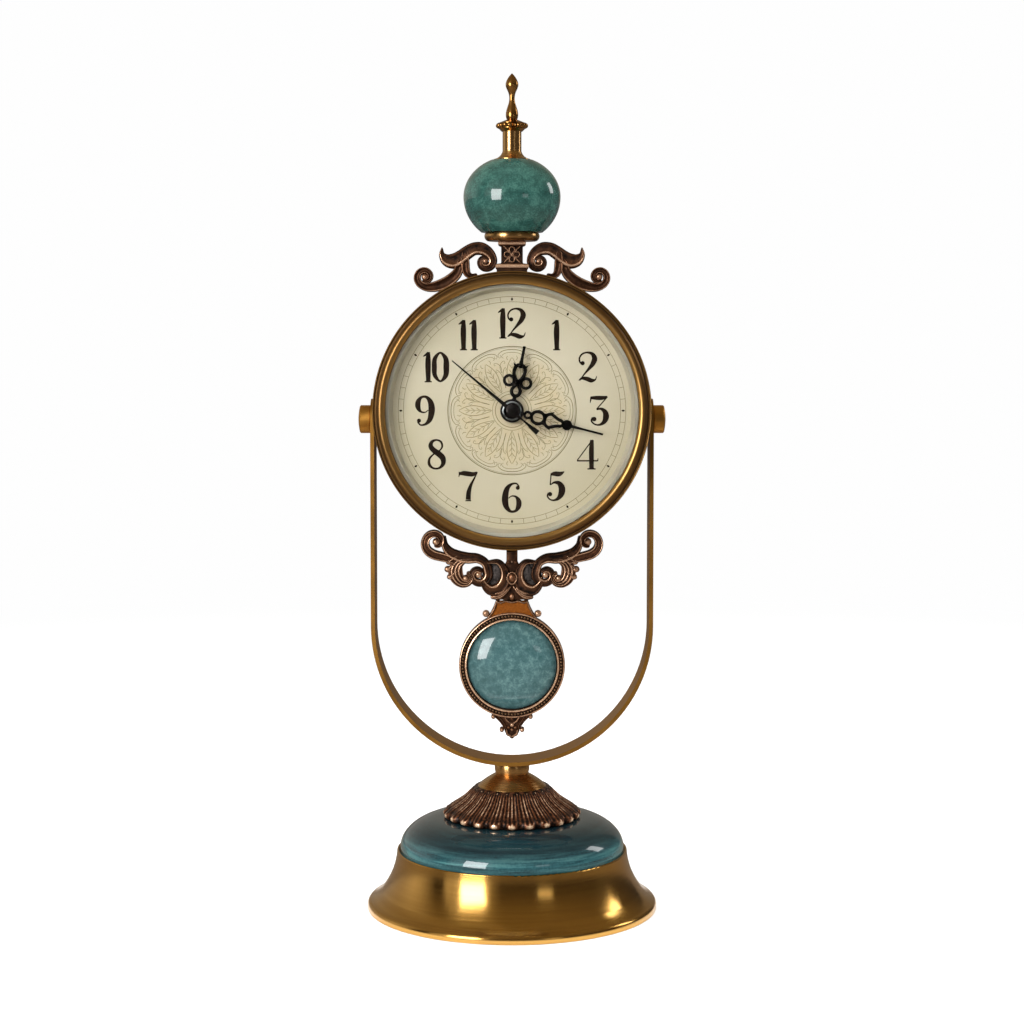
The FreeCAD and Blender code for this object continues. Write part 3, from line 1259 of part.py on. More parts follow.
def crest_side():
    """Left crest scroll, cut to the drum below it and to the pedestal beside it."""
    def spot(shares):
        return -cw * shares[0], crest_top - ch * shares[1]

    def curl(eye_shares, spiral_shares, angles):
        radii, halves = ([ch * a for a in pair] for pair in spiral_shares)
        return spiral(spot(eye_shares), radii, angles, halves, spiral_count)

    upper = stations(upper_arm_shares, cw, ch, crest_top)
    upper += curl(crest_inner_eye_shares, crest_inner_spiral_shares, crest_inner_turn)
    lower = stations(lower_arm_shares, cw, ch, crest_top)
    lower += curl(crest_outer_eye_shares, crest_outer_spiral_shares, crest_outer_turn)
    leg = stations(leg_shares, cw, ch, crest_top)
    pieces = []
    for line in (upper, lower, leg):
        pieces.append(ribbon(line, crest_front, crest_back))
        pieces.append(ribbon(line, crest_front - crest_relief, crest_back + crest_relief, ridge_share))
    for shares in (crest_inner_eye_shares, crest_outer_eye_shares):
        x, z = spot(shares)
        pieces.append(across(ch * crest_eye_share, crest_front - crest_relief, crest_back + crest_relief,
                             x, z))
    pieces.append(block(-cw * toe_shares[0], -cw * toe_shares[1], crest_front, crest_back,
                        drum_top - pedestal_foot_half, crest_top - ch * leg_shares[3][1]))
    pieces.append(block(-cw * bridge_shares[0], 0, crest_front * bridge_depth_share,
                        crest_back * bridge_depth_share, crest_top - ch * bridge_shares[2],
                        crest_top - ch * bridge_shares[1]))
    return joined(pieces).cut([across(drum_radius, -drum_depth, drum_depth)] + pedestal_tiers)


left_scroll = crest_side()
save("left_crest_scroll", left_scroll)
save("right_crest_scroll", mirrored(left_scroll))

# Collar under the ball
save("ball_collar", turned([
    (crest_hole, pedestal_top), (ball_collar_radius - collar_bow * 2, pedestal_top),
    ((ball_collar_radius, pedestal_top + ball_collar_height / 2),
     (ball_collar_radius - collar_bow, ball_bottom)), (crest_hole, ball_bottom)]))


def ball_outline(shrink, low, high):
    """Half of the ball: an ellipse arc below the belt and a flatter one above it."""
    belt = ball_bottom + ball_belt
    edges = []
    for reach, sign, level in ((ball_foot_reach, -1, low), (ball_top_reach, 1, high)):
        pole = Vector(0, 0, belt + sign * (reach - shrink))
        side = Vector(ball_radius - shrink, 0, belt)
        ellipse = Part.Ellipse(side, pole, Vector(0, 0, belt))
        height = abs(level - belt) / (reach - shrink)
        edges.append(Part.ArcOfEllipse(ellipse, 0, math.asin(min(height, 1.0))).toShape())
    low_end = edges[0].valueAt(edges[0].LastParameter)
    high_end = edges[1].valueAt(edges[1].LastParameter)
    edges.append(Part.LineSegment(low_end, Vector(0, 0, low_end.z)).toShape())
    edges.append(Part.LineSegment(Vector(0, 0, low_end.z), Vector(0, 0, high_end.z)).toShape())
    edges.append(Part.LineSegment(Vector(0, 0, high_end.z), high_end).toShape())
    wire = Part.Wire(Part.__sortEdges__(edges))
    return Part.Face(wire).revolve(Vector(0, 0, 0), AXIS_Z, FULL_TURN)


# Glazed ball, hollow, with a hole at each end for the bolt
ball = ball_outline(0, ball_bottom, ball_top).cut([
    ball_outline(ball_wall, ball_bottom + ball_wall, ball_top - ball_wall),
    upright(crest_hole, ball_bottom - overrun, ball_top + overrun)])
save("ceramic_ball", ball)

# Cap above the ball: a flared cone that runs into a tube
cone_end = ball_top + cap_cone_height
cap_flare_share = 0.55
save("ball_cap", turned([
    (crest_hole, ball_top), (cap_base_radius, ball_top), (cap_base_radius, ball_top + cone_bead),
    ((cap_tube_radius + cap_flare, ball_top + cap_cone_height * cap_flare_share),
     (cap_tube_radius, cone_end)), (cap_tube_radius, cap_top), (crest_hole, cap_top)]))

# Gadrooned ring
ring_core = bead_ring_radius - gadroon_radius
ring_middle = cap_top + bead_ring_height / 2
ring_disc = turned([
    (crest_hole, cap_top), (cap_tube_radius + cone_bead, cap_top), (ring_core, ring_middle - gadroon_radius),
    (ring_core, ring_middle + gadroon_radius), (finial_radius, finial_bottom), (crest_hole, finial_bottom)])
gadroons = []
for index in range(gadroon_count):
    angle = 2 * math.pi * index / gadroon_count
    gadroons.append(Part.makeSphere(gadroon_radius, Vector(ring_core * math.cos(angle),
                                                           ring_core * math.sin(angle), ring_middle)))
save("beaded_ring", joined([ring_disc] + gadroons))

# Finial: a turned baluster under a spear head
fh, fr = finial_height, finial_radius
finial_shares = [(0.78, 0.0), (0.95, 0.16), (0.45, 0.42), (0.52, 0.56), (0.62, 0.60), (1.0, 0.74),
                 (0.62, 0.90), (0.0, 1.0)]
finial_points = [Vector(fr * a, 0, finial_bottom + fh * b) for a, b in finial_shares]
finial_curve = Part.BSplineCurve()
finial_curve.interpolate(finial_points)
finial_edges = [finial_curve.toShape(),
                Part.LineSegment(finial_points[-1], Vector(0, 0, finial_bottom)).toShape(),
                Part.LineSegment(Vector(0, 0, finial_bottom), finial_points[0]).toShape()]
finial = Part.Face(Part.Wire(finial_edges)).revolve(Vector(0, 0, 0), AXIS_Z, FULL_TURN)
save("finial", finial.cut(upright(crest_bolt_radius, finial_bottom - overrun, finial_bottom + crest_thread)))

# Crest bolt: its head is inside the drum, its end in the finial
bolt_seat = drum_top - drum_wall
save("crest_bolt", joined([
    upright(crest_bolt_head, bolt_seat - crest_bolt_head_height, bolt_seat - cone_bead),
    upright(crest_bolt_radius, bolt_seat - crest_bolt_head_height / 2, finial_bottom + crest_thread)]))

print("height", round(total_height, 3), "width", round(2 * knob_end, 3), "base", 2 * base_radius)
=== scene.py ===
import logging
import math
from dataclasses import dataclass
from enum import Enum
from typing import Optional, Sequence, Union

import bpy
import numpy as np
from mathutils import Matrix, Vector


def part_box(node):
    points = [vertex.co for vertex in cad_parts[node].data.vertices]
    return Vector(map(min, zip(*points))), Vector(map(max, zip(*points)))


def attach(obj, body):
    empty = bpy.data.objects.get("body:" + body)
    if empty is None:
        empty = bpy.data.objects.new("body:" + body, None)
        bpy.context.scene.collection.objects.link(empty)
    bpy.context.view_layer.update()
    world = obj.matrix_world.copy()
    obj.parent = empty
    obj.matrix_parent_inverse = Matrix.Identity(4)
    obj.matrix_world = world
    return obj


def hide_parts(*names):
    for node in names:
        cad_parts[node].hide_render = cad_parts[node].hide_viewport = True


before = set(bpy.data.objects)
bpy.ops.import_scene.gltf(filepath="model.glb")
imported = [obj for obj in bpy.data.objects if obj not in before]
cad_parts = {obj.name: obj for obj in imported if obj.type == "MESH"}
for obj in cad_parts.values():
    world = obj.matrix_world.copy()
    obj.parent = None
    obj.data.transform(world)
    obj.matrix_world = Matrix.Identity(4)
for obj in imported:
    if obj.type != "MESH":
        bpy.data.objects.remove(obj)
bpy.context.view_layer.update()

# Looks of a desk pendulum clock. Sizes are in millimetres, measured as the model stands: x to the
# right of the reader, y away from the reader and z up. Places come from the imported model's boxes.

LOG = logging.getLogger("pendulum_clock")
MM = 0.001
SHARP_DEGREES = 38.0
ALMOST_NIL = 1e-9
# Stations that a closed line repeats before its start, so that its slopes meet.
CLOSED_LEAD = 3
# A ribbon's narrowest stretch keeps the square root of this share of its relief.
LEAST_RELIEF = 0.02
# Wear of a flat back, and the share of a half width beyond which an arm's edge is dull.
BACK_WEAR = 0.05
EDGE = 0.97
# Depths of bump in millimetres, of a fine grain and of pits.
GRAIN_DEPTH = 0.1
PIT_DEPTH = 0.15
# Noise keeps mostly between these values, so a finish reaches its two ends there.
NOISE_SPAN = {"From Min": 0.3, "From Max": 0.7}

Tree = bpy.types.NodeTree
Socket = bpy.types.NodeSocket
Feed = Union[bpy.types.Node, Socket]
Station = tuple[float, float, float]
Place = tuple[float, float, float]


class Body(Enum):
    """Moving bodies that new pieces ride on."""

    BASE = "base"
    HEAD = "head"
    MINUTE = "minute_train"
    HOUR = "hour_train"
    SECOND = "second_train"
    PENDULUM = "pendulum"


class Slot(Enum):
    """Names of material slots; the pieces below take their finishes directly, not from these."""

    AGED_BRASS = "aged_brass"
    DARK_CASTING = "dark_casting"
    PETAL_CASTING = "petal_casting"
    TEAL_GLAZE = "teal_glaze"
    SILVER_RING = "silver_ring"
    DIAL_PRINT = "dial_print"
    BLACK_HANDS = "black_hands"


class Axis(Enum):
    """Axis that a profile is turned about."""

    VERTICAL = "z"
    DEPTH = "y"


class End(Enum):
    """How an open ribbon ends."""

    ROUND = "round"
    FLAT = "flat"


class Mirror(Enum):
    """Coordinate that a twin is mirrored in."""

    ACROSS = 0
    BEHIND = 1


FLAT_ENDS = (End.FLAT, End.FLAT)


def linear(colour: str) -> tuple[float, float, float, float]:
    """Turn an sRGB hex value to linear light.

    Args:
        colour: Six hex digits after a hash sign.

    Returns:
        Red, green, blue and an alpha of one.
    """
    parts = [int(colour[index:index + 2], 16) / 255 for index in (1, 3, 5)]
    lit = [part / 12.92 if part <= 0.04045 else ((part + 0.055) / 1.055) ** 2.4 for part in parts]
    return (*lit, 1.0)


def per_mm(size: float) -> float:
    """Texture scale, in cycles for each metre, of a pattern whose grains are size millimetres."""
    return 1.0 / (size * MM)


def add(tree: Tree, kind: str, sockets: Optional[dict] = None,
        **settings: object) -> bpy.types.Node:
    """Add a node with its settings and links.

    Args:
        tree: Node tree that takes the node.
        kind: Blender's name for the shader node's type, without its start ShaderNode.
        sockets: For each of the node's sockets a constant, an output to join to it, or a node
            whose first output in use is joined.
        settings: Values of the node's own properties.

    Returns:
        The new node.
    """
    node = tree.nodes.new("ShaderNode" + kind)
    for key, value in settings.items():
        setattr(node, key, value)
    for key, value in (sockets or {}).items():
        if isinstance(value, bpy.types.Node):
            value = next(output for output in value.outputs if output.enabled)
        if isinstance(value, Socket):
            tree.links.new(value, node.inputs[key])
        else:
            node.inputs[key].default_value = value
    return node


def grain(tree: Tree, at: Feed, size: float, detail: float, strength: float,
          depth: float) -> bpy.types.Node:
    """Roughen a surface by noise.

    Args:
        tree: Node tree that takes the nodes.
        at: Place on the piece.
        size: Size of a grain in millimetres.
        detail: How many finer noises lie on top.
        strength: Strength of the bump.
        depth: Depth of the bump in millimetres.

    Returns:
        The bump.
    """
    noise = add(tree, "TexNoise", {"Vector": at, "Scale": per_mm(size), "Detail": detail})
    return add(tree, "Bump", {"Height": noise, "Strength": strength, "Distance": depth * MM})


def graded(tree: Tree, share: Feed, tones: Sequence[str],
           spans: Sequence[tuple[float, float]]) -> Feed:
    """Mix tones in a row: each next one comes in over its own span of a share.

    Args:
        tree: Node tree that takes the nodes.
        share: What steers the tones.
        tones: The tones as hex values.
        spans: Where each tone after the first starts and where it is full.

    Returns:
        The mixed tone.
    """
    mixed = linear(tones[0])
    for tone, (first, full) in zip(tones[1:], spans):
        part = add(tree, "MapRange", {"Value": share, "From Min": first, "From Max": full})
        mixed = add(tree, "Mix", {0: part, 6: mixed, 7: linear(tone)}, data_type="RGBA")
    return mixed


@dataclass(frozen=True)
class Finish:
    """A finish with the name of its material; each kind dresses the shader its own way."""

    name: str

    def material(self) -> bpy.types.Material:
        """Return the material of this finish, made at its first use."""
        made = bpy.data.materials.get(self.name)
        if made is None:
            made = bpy.data.materials.new(self.name)
            made.use_nodes = True
            tree = made.node_tree
            tree.nodes.clear()
            place = add(tree, "TexCoord")
            shader = add(tree, "BsdfPrincipled", self.dress(tree, place.outputs["Object"]))
            add(tree, "OutputMaterial", {"Surface": shader})
        return made

    def dress(self, tree: Tree, at: Socket) -> dict:
        """Add the nodes of the finish.

        Args:
            tree: Node tree of the material.
            at: Place on the piece, as its Object coordinates.

        Returns:
            A constant or an output for each of the shader's sockets that the finish sets.
        """
        raise NotImplementedError


@dataclass(frozen=True)
class Metal(Finish):
    """Solid metal: two tones in soft clouds, a fine grain in the bump and an uneven polish.

    The clouds are where lacquer and tarnish differ, which keeps a large sheet from looking plated.
    The real grain is a few hundredths of a millimetre. That is too fine to show, so it is drawn
    about ten times as coarse.
    """

    light: str
    dark: str
    cloud: float
    grain: float
    smooth: float
    dull: float
    scratch: float = 0.05
    stretch: tuple[float, float, float] = (1.0, 1.0, 1.0)
    metallic: float = 1.0

    def dress(self, tree: Tree, at: Socket) -> dict:
        """Mix the two tones and roughnesses by cloud noise and add the grain.

        Args:
            tree: Node tree of the material.
            at: Place on the piece.

        Returns:
            Values of the shader's sockets.
        """
        cloud = add(tree, "TexNoise", {"Vector": at, "Scale": per_mm(self.cloud), "Detail": 5.0})
        tone = add(tree, "Mix", {0: cloud, 6: linear(self.dark), 7: linear(self.light)},
                   data_type="RGBA")
        polish = add(tree, "MapRange", {"Value": cloud, **NOISE_SPAN, "To Min": self.smooth,
                                        "To Max": self.dull})
        drawn = add(tree, "Mapping", {"Vector": at, "Scale": self.stretch})
        bump = grain(tree, drawn, self.grain, 3.0, self.scratch, GRAIN_DEPTH)
        return {"Metallic": self.metallic, "Base Color": tone, "Roughness": polish, "Normal": bump}


@dataclass(frozen=True)
class Spun(Finish):
    """Sheet metal spun on a lathe about the vertical axis: fine rings run round the piece.

    The rings are a noise that hardly changes round the axis and changes quickly along the height.
    They stretch every highlight up and down, as a lathe's marks do. The real marks are finer than
    the picture can show, so they are drawn 0.1 to 0.2 mm apart.
    """

    light: str = "#DDAE62"
    dark: str = "#C08F45"
    ring: float = 0.22
    smooth: float = 0.15
    dull: float = 0.22
    scratch: float = 0.010
    drift: float = 60.0
    stretch: float = 0.85

    def dress(self, tree: Tree, at: Socket) -> dict:
        """Build rings from height and radius, and let them steer tone, polish and bump.

        Args:
            tree: Node tree of the material.
            at: Place on the piece.

        Returns:
            Values of the shader's sockets.
        """
        apart = add(tree, "SeparateXYZ", {0: at})
        flat = add(tree, "CombineXYZ", {0: apart.outputs[0], 1: apart.outputs[1]})
        radius = add(tree, "VectorMath", {0: flat}, operation="LENGTH")
        level = add(tree, "Math", {0: apart.outputs[2], 1: radius}, operation="ADD")
        lane = add(tree, "Math", {0: level, 1: per_mm(self.ring)}, operation="MULTIPLY")
        drift = add(tree, "VectorMath", {0: flat, "Scale": per_mm(self.drift)}, operation="SCALE")
        slow = add(tree, "SeparateXYZ", {0: drift})
        spot = add(tree, "CombineXYZ", {0: slow.outputs[0], 1: slow.outputs[1], 2: lane})
        rings = add(tree, "TexNoise", {"Vector": spot, "Scale": 1.0, "Detail": 3.0,
                                       "Roughness": 0.6})
        tone = add(tree, "Mix", {0: rings, 6: linear(self.dark), 7: linear(self.light)},
                   data_type="RGBA")
        polish = add(tree, "MapRange", {"Value": rings, **NOISE_SPAN, "To Min": self.smooth,
                                        "To Max": self.dull})
        bump = add(tree, "Bump", {"Height": rings, "Strength": self.scratch,
                                  "Distance": GRAIN_DEPTH * MM})
        lay = add(tree, "Tangent", direction_type="RADIAL", axis="Z")
        return {"Metallic": 1.0, "Anisotropic": self.stretch, "Anisotropic Rotation": 0.25,
                "Tangent": lay, "Base Color": tone, "Roughness": polish, "Normal": bump}


@dataclass(frozen=True)
class Casting(Finish):
    """Metal with relief, blackened and wiped: ridges are rubbed bright, hollows stay dark.

    The mesh carries the height of its relief in the attribute wear, and noise breaks the wiping up.
    Pits are drawn at 0.4 mm, since real ones are too fine to show.
    """

    hollow: str = "#160B06"
    body: str = "#72492F"
    ridge: str = "#F6C8A4"
    patch: float = 3.2
    pit: float = 0.45
    broken: float = 0.55
    smooth: float = 0.24
    dull: float = 0.5
    relief: float = 0.22
    metallic: float = 0.78

    def dress(self, tree: Tree, at: Socket) -> dict:
        """Mix three tones by wear and noise; worn metal is also smoother.

        Args:
            tree: Node tree of the material.
            at: Place on the piece.

        Returns:
            Values of the shader's sockets.
        """
        wear = add(tree, "Attribute", attribute_name="wear")
        patch = add(tree, "TexNoise", {"Vector": at, "Scale": per_mm(self.patch), "Detail": 6.0})
        shift = add(tree, "Math", {0: patch, 1: self.broken, 2: -self.broken / 2},
                    operation="MULTIPLY_ADD")
        rubbed = add(tree, "Math", {0: wear.outputs["Fac"], 1: shift}, operation="ADD",
                     use_clamp=True)
        tone = graded(tree, rubbed, (self.hollow, self.body, self.ridge), ((0.0, 0.5), (0.55, 1.0)))
        polish = add(tree, "MapRange", {"Value": rubbed, "To Min": self.dull,
                                        "To Max": self.smooth})
        bump = grain(tree, at, self.pit, 4.0, self.relief, PIT_DEPTH)
        return {"Metallic": self.metallic, "Base Color": tone, "Roughness": polish, "Normal": bump}


@dataclass(frozen=True)
class Glaze(Finish):
    """Glazed stoneware: coloured glaze in streaks or specks under a glossy coat.

    Streaks are noise that is long round the vertical axis and short across it. The coat alone
    carries the gloss, so that deep tones stay deep; slow pools in it make the highlights waver.
    """

    deep: str = "#04131A"
    middle: str = "#294E52"
    pale: str = "#4A7472"
    streak: float = 2.2
    length: float = 40.0
    speck: float = 1.2
    speck_share: float = 0.25
    shade_low: float = 0.0
    shade_high: float = 0.0
    shade_share: float = 0.0
    pool: float = 9.0
    pool_depth: float = 0.6

    def dress(self, tree: Tree, at: Socket) -> dict:
        """Layer streaks and specks, darken towards one height and set the gloss.

        Args:
            tree: Node tree of the material.
            at: Place on the piece.

        Returns:
            Values of the shader's sockets.
        """
        drawn = add(tree, "Mapping", {"Vector": at, "Scale": (per_mm(self.length),
                                                              per_mm(self.length),
                                                              per_mm(self.streak))})
        streaks = add(tree, "TexNoise", {"Vector": drawn, "Scale": 1.0, "Detail": 8.0,
                                         "Roughness": 0.62, "Distortion": 0.35})
        specks = add(tree, "TexNoise", {"Vector": at, "Scale": per_mm(self.speck), "Detail": 6.0,
                                        "Roughness": 0.7})
        blend = add(tree, "Mix", {0: self.speck_share, 2: streaks, 3: specks}, data_type="FLOAT")
        tone = graded(tree, blend, (self.deep, self.middle, self.pale),
                      ((0.30, 0.52), (0.50, 0.72)))
        apart = add(tree, "SeparateXYZ", {0: at})
        shade = add(tree, "MapRange", {"Value": apart.outputs[2], "From Min": self.shade_low * MM,
                                       "From Max": self.shade_high * MM, "To Min": 0.0,
                                       "To Max": self.shade_share})
        shaded = add(tree, "Mix", {0: shade, 6: tone, 7: linear(self.deep)}, data_type="RGBA")
        bump = grain(tree, at, self.pool, 2.0, 0.08, self.pool_depth)
        return {"Roughness": 0.22, "Specular IOR Level": 0.1, "IOR": 1.52, "Coat Weight": 1.0,
                "Coat Roughness": 0.03, "Base Color": shaded, "Normal": bump, "Coat Normal": bump}


@dataclass(frozen=True)
class Matt(Finish):
    """Non-metal: ink, plastic, felt or laminate, with a small mottle and a fine grain.

    Mottle and grain keep a flat colour from looking painted; both are drawn as coarse as shows.
    """

    light: str
    dark: str
    mottle: float
    grain: float
    rough: float
    relief: float = 0.05
    sheen: float = 0.0
    shine: float = 0.5

    def dress(self, tree: Tree, at: Socket) -> dict:
        """Mix the two tones by a soft noise and add the grain as bump.

        Args:
            tree: Node tree of the material.
            at: Place on the piece.

        Returns:
            Values of the shader's sockets.
        """
        mottle = add(tree, "TexNoise", {"Vector": at, "Scale": per_mm(self.mottle), "Detail": 4.0})
        tone = add(tree, "Mix", {0: mottle, 6: linear(self.dark), 7: linear(self.light)},
                   data_type="RGBA")
        bump = grain(tree, at, self.grain, 3.0, self.relief, PIT_DEPTH)
        return {"Roughness": self.rough, "Sheen Weight": self.sheen,
                "Specular IOR Level": self.shine, "Base Color": tone, "Normal": bump}


@dataclass(frozen=True)
class WindowGlass(Finish):
    """Flat float glass with an anti-glare coat, clear with a trace of unevenness."""

    tint: str = "#FBFDFB"
    ripple: float = 90.0
    ripple_depth: float = 0.05

    def dress(self, tree: Tree, at: Socket) -> dict:
        """Clear transmission with a very slow ripple.

        Args:
            tree: Node tree of the material.
            at: Place on the piece.

        Returns:
            Values of the shader's sockets.
        """
        bump = grain(tree, at, self.ripple, 1.0, 0.02, self.ripple_depth)
        return {"Base Color": linear(self.tint), "Roughness": 0.0, "IOR": 1.12,
                "Transmission Weight": 1.0, "Normal": bump}


@dataclass(frozen=True)
class DialPaint(Finish):
    """Cream dial card under a satin varnish, yellowing in blotches, and darker towards its rim by a
    painted shade where the bezel shades it.

    A slow noise steers the yellowing and the distance from the centre steers the painted shade,
    both towards olive; a warmer tint lies under the rosette; paper fibre gives the grain.
    """

    centre: Place = (0.0, 0.0, 0.0)
    cream: str = "#D3C8B2"
    olive: str = "#B7AB8C"
    tint: str = "#D3BC90"
    radius: float = 70.0
    rim_shade_share: float = 0.45
    rosette_shares: tuple[float, float] = (0.52, 0.40)
    yellowing_and_rim_shade: float = 0.35
    warmth: float = 0.8
    blotch: float = 45.0
    mottle: float = 6.0
    fibre: float = 0.5

    def dress(self, tree: Tree, at: Socket) -> dict:
        """Mix cream and olive by distance and noise, and set a satin surface.

        Args:
            tree: Node tree of the material.
            at: Place on the piece.

        Returns:
            Values of the shader's sockets.
        """
        moved = add(tree, "VectorMath", {0: at, 1: self.centre}, operation="SUBTRACT")
        distance = add(tree, "VectorMath", {0: moved}, operation="LENGTH")
        # Painted shade: the card turns olive towards its rim, where the bezel shades it.
        rim = add(tree, "MapRange", {"Value": distance,
                                     "From Min": self.rim_shade_share * self.radius * MM,
                                     "From Max": self.radius * MM, "To Max": self.yellowing_and_rim_shade})
        cloud = add(tree, "TexNoise", {"Vector": at, "Scale": per_mm(self.blotch), "Detail": 3.0})
        blotch = add(tree, "MapRange", {"Value": cloud, "From Min": 0.35, "From Max": 0.7,
                                        "To Max": self.yellowing_and_rim_shade})
        total = add(tree, "Math", {0: rim, 1: blotch}, operation="ADD", use_clamp=True)
        tone = add(tree, "Mix", {0: total, 6: linear(self.cream), 7: linear(self.olive)},
                   data_type="RGBA")
        warm = add(tree, "TexNoise", {"Vector": at, "Scale": per_mm(self.mottle), "Detail": 2.0})
        outer, inner = (share * self.radius * MM for share in self.rosette_shares)
        middle = add(tree, "MapRange", {"Value": distance, "From Min": outer, "From Max": inner,
                                        "To Max": self.warmth})
        tinted = add(tree, "Math", {0: middle, 1: warm}, operation="MULTIPLY")
        final = add(tree, "Mix", {0: tinted, 6: tone, 7: linear(self.tint)}, data_type="RGBA")
        bump = grain(tree, at, self.fibre, 4.0, 0.06, GRAIN_DEPTH)
        return {"Roughness": 0.42, "Base Color": final, "Normal": bump}


@dataclass(frozen=True)
class FloorPaint(Finish):
    """Matt white floor paint that passes into the room's even light, so that no horizon shows.

    Shiny pieces see the paint darker beyond an apron round the clock.
    """

    white: str = "#F4F3F1"
    room: str = "#FEFEFE"
    shadow: str = "#6A6156"
    apron: tuple[float, float] = (84.0, 140.0)
    near: float = 260.0
    far: float = 1500.0
    mirrored: float = 0.12

    def dress(self, tree: Tree, at: Socket) -> dict:
        """Fade paint into light with the distance from the clock.

        Args:
            tree: Node tree of the material.
            at: Place on the piece.

        Returns:
            Values of the shader's sockets.
        """
        away = add(tree, "VectorMath", {0: at}, operation="LENGTH")
        fade = add(tree, "MapRange", {"Value": away, "From Min": self.near * MM,
                                      "From Max": self.far * MM}, interpolation_type="SMOOTHSTEP")
        path = add(tree, "LightPath")
        glossy = path.outputs["Is Glossy Ray"]
        apron = add(tree, "MapRange", {"Value": away, "From Min": self.apron[0] * MM,
                                       "From Max": self.apron[1] * MM})
        dimmed = add(tree, "Math", {0: apron, 1: glossy}, operation="MULTIPLY")
        seen = add(tree, "Mix", {0: dimmed, 6: linear(self.white), 7: linear(self.shadow)},
                   data_type="RGBA")
        paint = add(tree, "Mix", {0: fade, 6: seen, 7: linear("#000000")}, data_type="RGBA")
        dim = add(tree, "MapRange", {"Value": glossy, "To Min": 1.0, "To Max": self.mirrored})
        glow = add(tree, "Math", {0: fade, 1: dim}, operation="MULTIPLY")
        return {"Roughness": 1.0, "Specular IOR Level": 0.0, "Emission Color": linear(self.room),
                "Base Color": paint, "Emission Strength": glow}


def node_box(node: str) -> tuple[np.ndarray, np.ndarray]:
    """Return a CAD node's lowest and highest corners in millimetres."""
    low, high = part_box(node)
    return np.array(low) / MM, np.array(high) / MM


DIAL_LOW, DIAL_HIGH = node_box("dial_plate")
HEAD_Z = float(DIAL_LOW[2] + DIAL_HIGH[2]) / 2
DIAL_FACE = float(DIAL_LOW[1])
DIAL_AXIS = (0.0, 0.0, HEAD_Z)
HEAD_CENTRE = (0.0, DIAL_FACE * MM, HEAD_Z * MM)

# A metal's numbers are the sizes of cloud and grain, the roughness where smooth and where dull, and
# the scratch; a casting's are patch, pit, how broken its wiping is, both roughnesses, relief and
# share of metal; a matt finish's are mottle, grain, roughness and relief.

# Brass sheet, spun thin and lacquered: bright gold with long upright highlights.
SPUN_BRASS = Spun("brass_sheet_spun_and_lacquered")
# The same spinning, antiqued to a satin, so its highlights are broader and softer.
CONE_BRASS = Spun("brass_spinnings_antiqued_satin", "#E2B679", "#B88850", ring=0.10, smooth=0.22,
                  dull=0.32, scratch=0.02)
# Brass rod off the lathe: evenly bright, with a clean edge to its highlights.
TURNED_BRASS = Metal("brass_rod_turned_bright", "#D69B48", "#B67B34", 9.0, 0.3, 0.22, 0.34, 0.04)
KNOB_BRASS = Metal("brass_knobs_turned_satin", "#DDA54E", "#BF8338", 6.0, 0.3, 0.38, 0.5, 0.06)
# Antiqued brass: tarnish left in soft clouds makes it browner and duller in places.
OLD_BRASS = Metal("brass_spinnings_antiqued", "#C18F50", "#8C5F2E", 18.0, 0.3, 0.15, 0.27)
AGED_BRASS = Metal("brass_ring_antiqued_satin", "#A8763A", "#7E5122", 30.0, 0.35, 0.27, 0.38, 0.10)
# The bezel ring's wiped tones also carry a painted highlight and painted shade, through the wear of
# its profile.
BEZEL_BRASS = Casting("brass_ring_wiped_with_painted_highlight_and_shade", "#1E0F06", "#765630", "#BE9152", 24.0, 0.4,
                      0.16, 0.30, 0.42, 0.05, 0.95)
# Drawn strip: the drawing marks run along it and blur what it mirrors.
YOKE_BRASS = Metal("brass_strip_drawn_and_antiqued", "#C89448", "#A0702F", 25.0, 0.3, 0.36, 0.48,
                   0.10, stretch=(0.3, 1.0, 0.3))
# Zinc castings, plated with copper and blackened: rosy ridges over nearly black hollows.
CASTING = Casting("zinc_casting_copper_plated_and_blackened")
BEAD_METAL = Casting("zinc_beads_rubbed_bright", "#2E1B14", "#74583F", "#C8AF94", 2.0, 0.4, 0.3,
                     0.2, 0.3, 0.05)
# The petal casting's pale ridge tone and low metal share paint a highlight onto its rubbed ribs, on
# top of their wear.
PETALS = Casting("zinc_petal_casting_antiqued_painted_highlight", "#120805", "#6E4229", "#FFD9B4", 1.3, 0.4, 1.0,
                 0.2, 0.42, 0.15, 0.6)
RECESS = Casting("zinc_recess_left_matt_grey", "#201D1C", "#625A57", "#A59B95", 1.3, 0.35, 1.0,
                 0.45, 0.6, 0.35)
# Sandblasted copper sparkles in small spots instead of a highlight.
NECK_COPPER = Metal("zinc_field_sandblasted_copper", "#DB8639", "#7C3F18", 0.9, 0.45, 0.42, 0.55,
                    0.9)
# Stoneware glazes: the dome's pulls into level streaks, the others break into specks.
# The dome's glaze is painted darker over its upper part, up to the collar: a painted shade.
DOME_GLAZE = Glaze("stoneware_dome_streaky_teal_glaze", shade_low=38.5, shade_high=46.0,
                   shade_share=0.85)
BALL_GLAZE = Glaze("stoneware_ball_speckled_teal_glaze", "#0F2421", "#22433D", "#42695E",
                   streak=7.0, length=9.0, speck=0.9, speck_share=0.5)
CABOCHON_GLAZE = Glaze("stoneware_disc_mottled_teal_glaze", "#24403F", "#385456", "#5A7774",
                       streak=3.5, length=3.5, speck=1.0, speck_share=0.35)
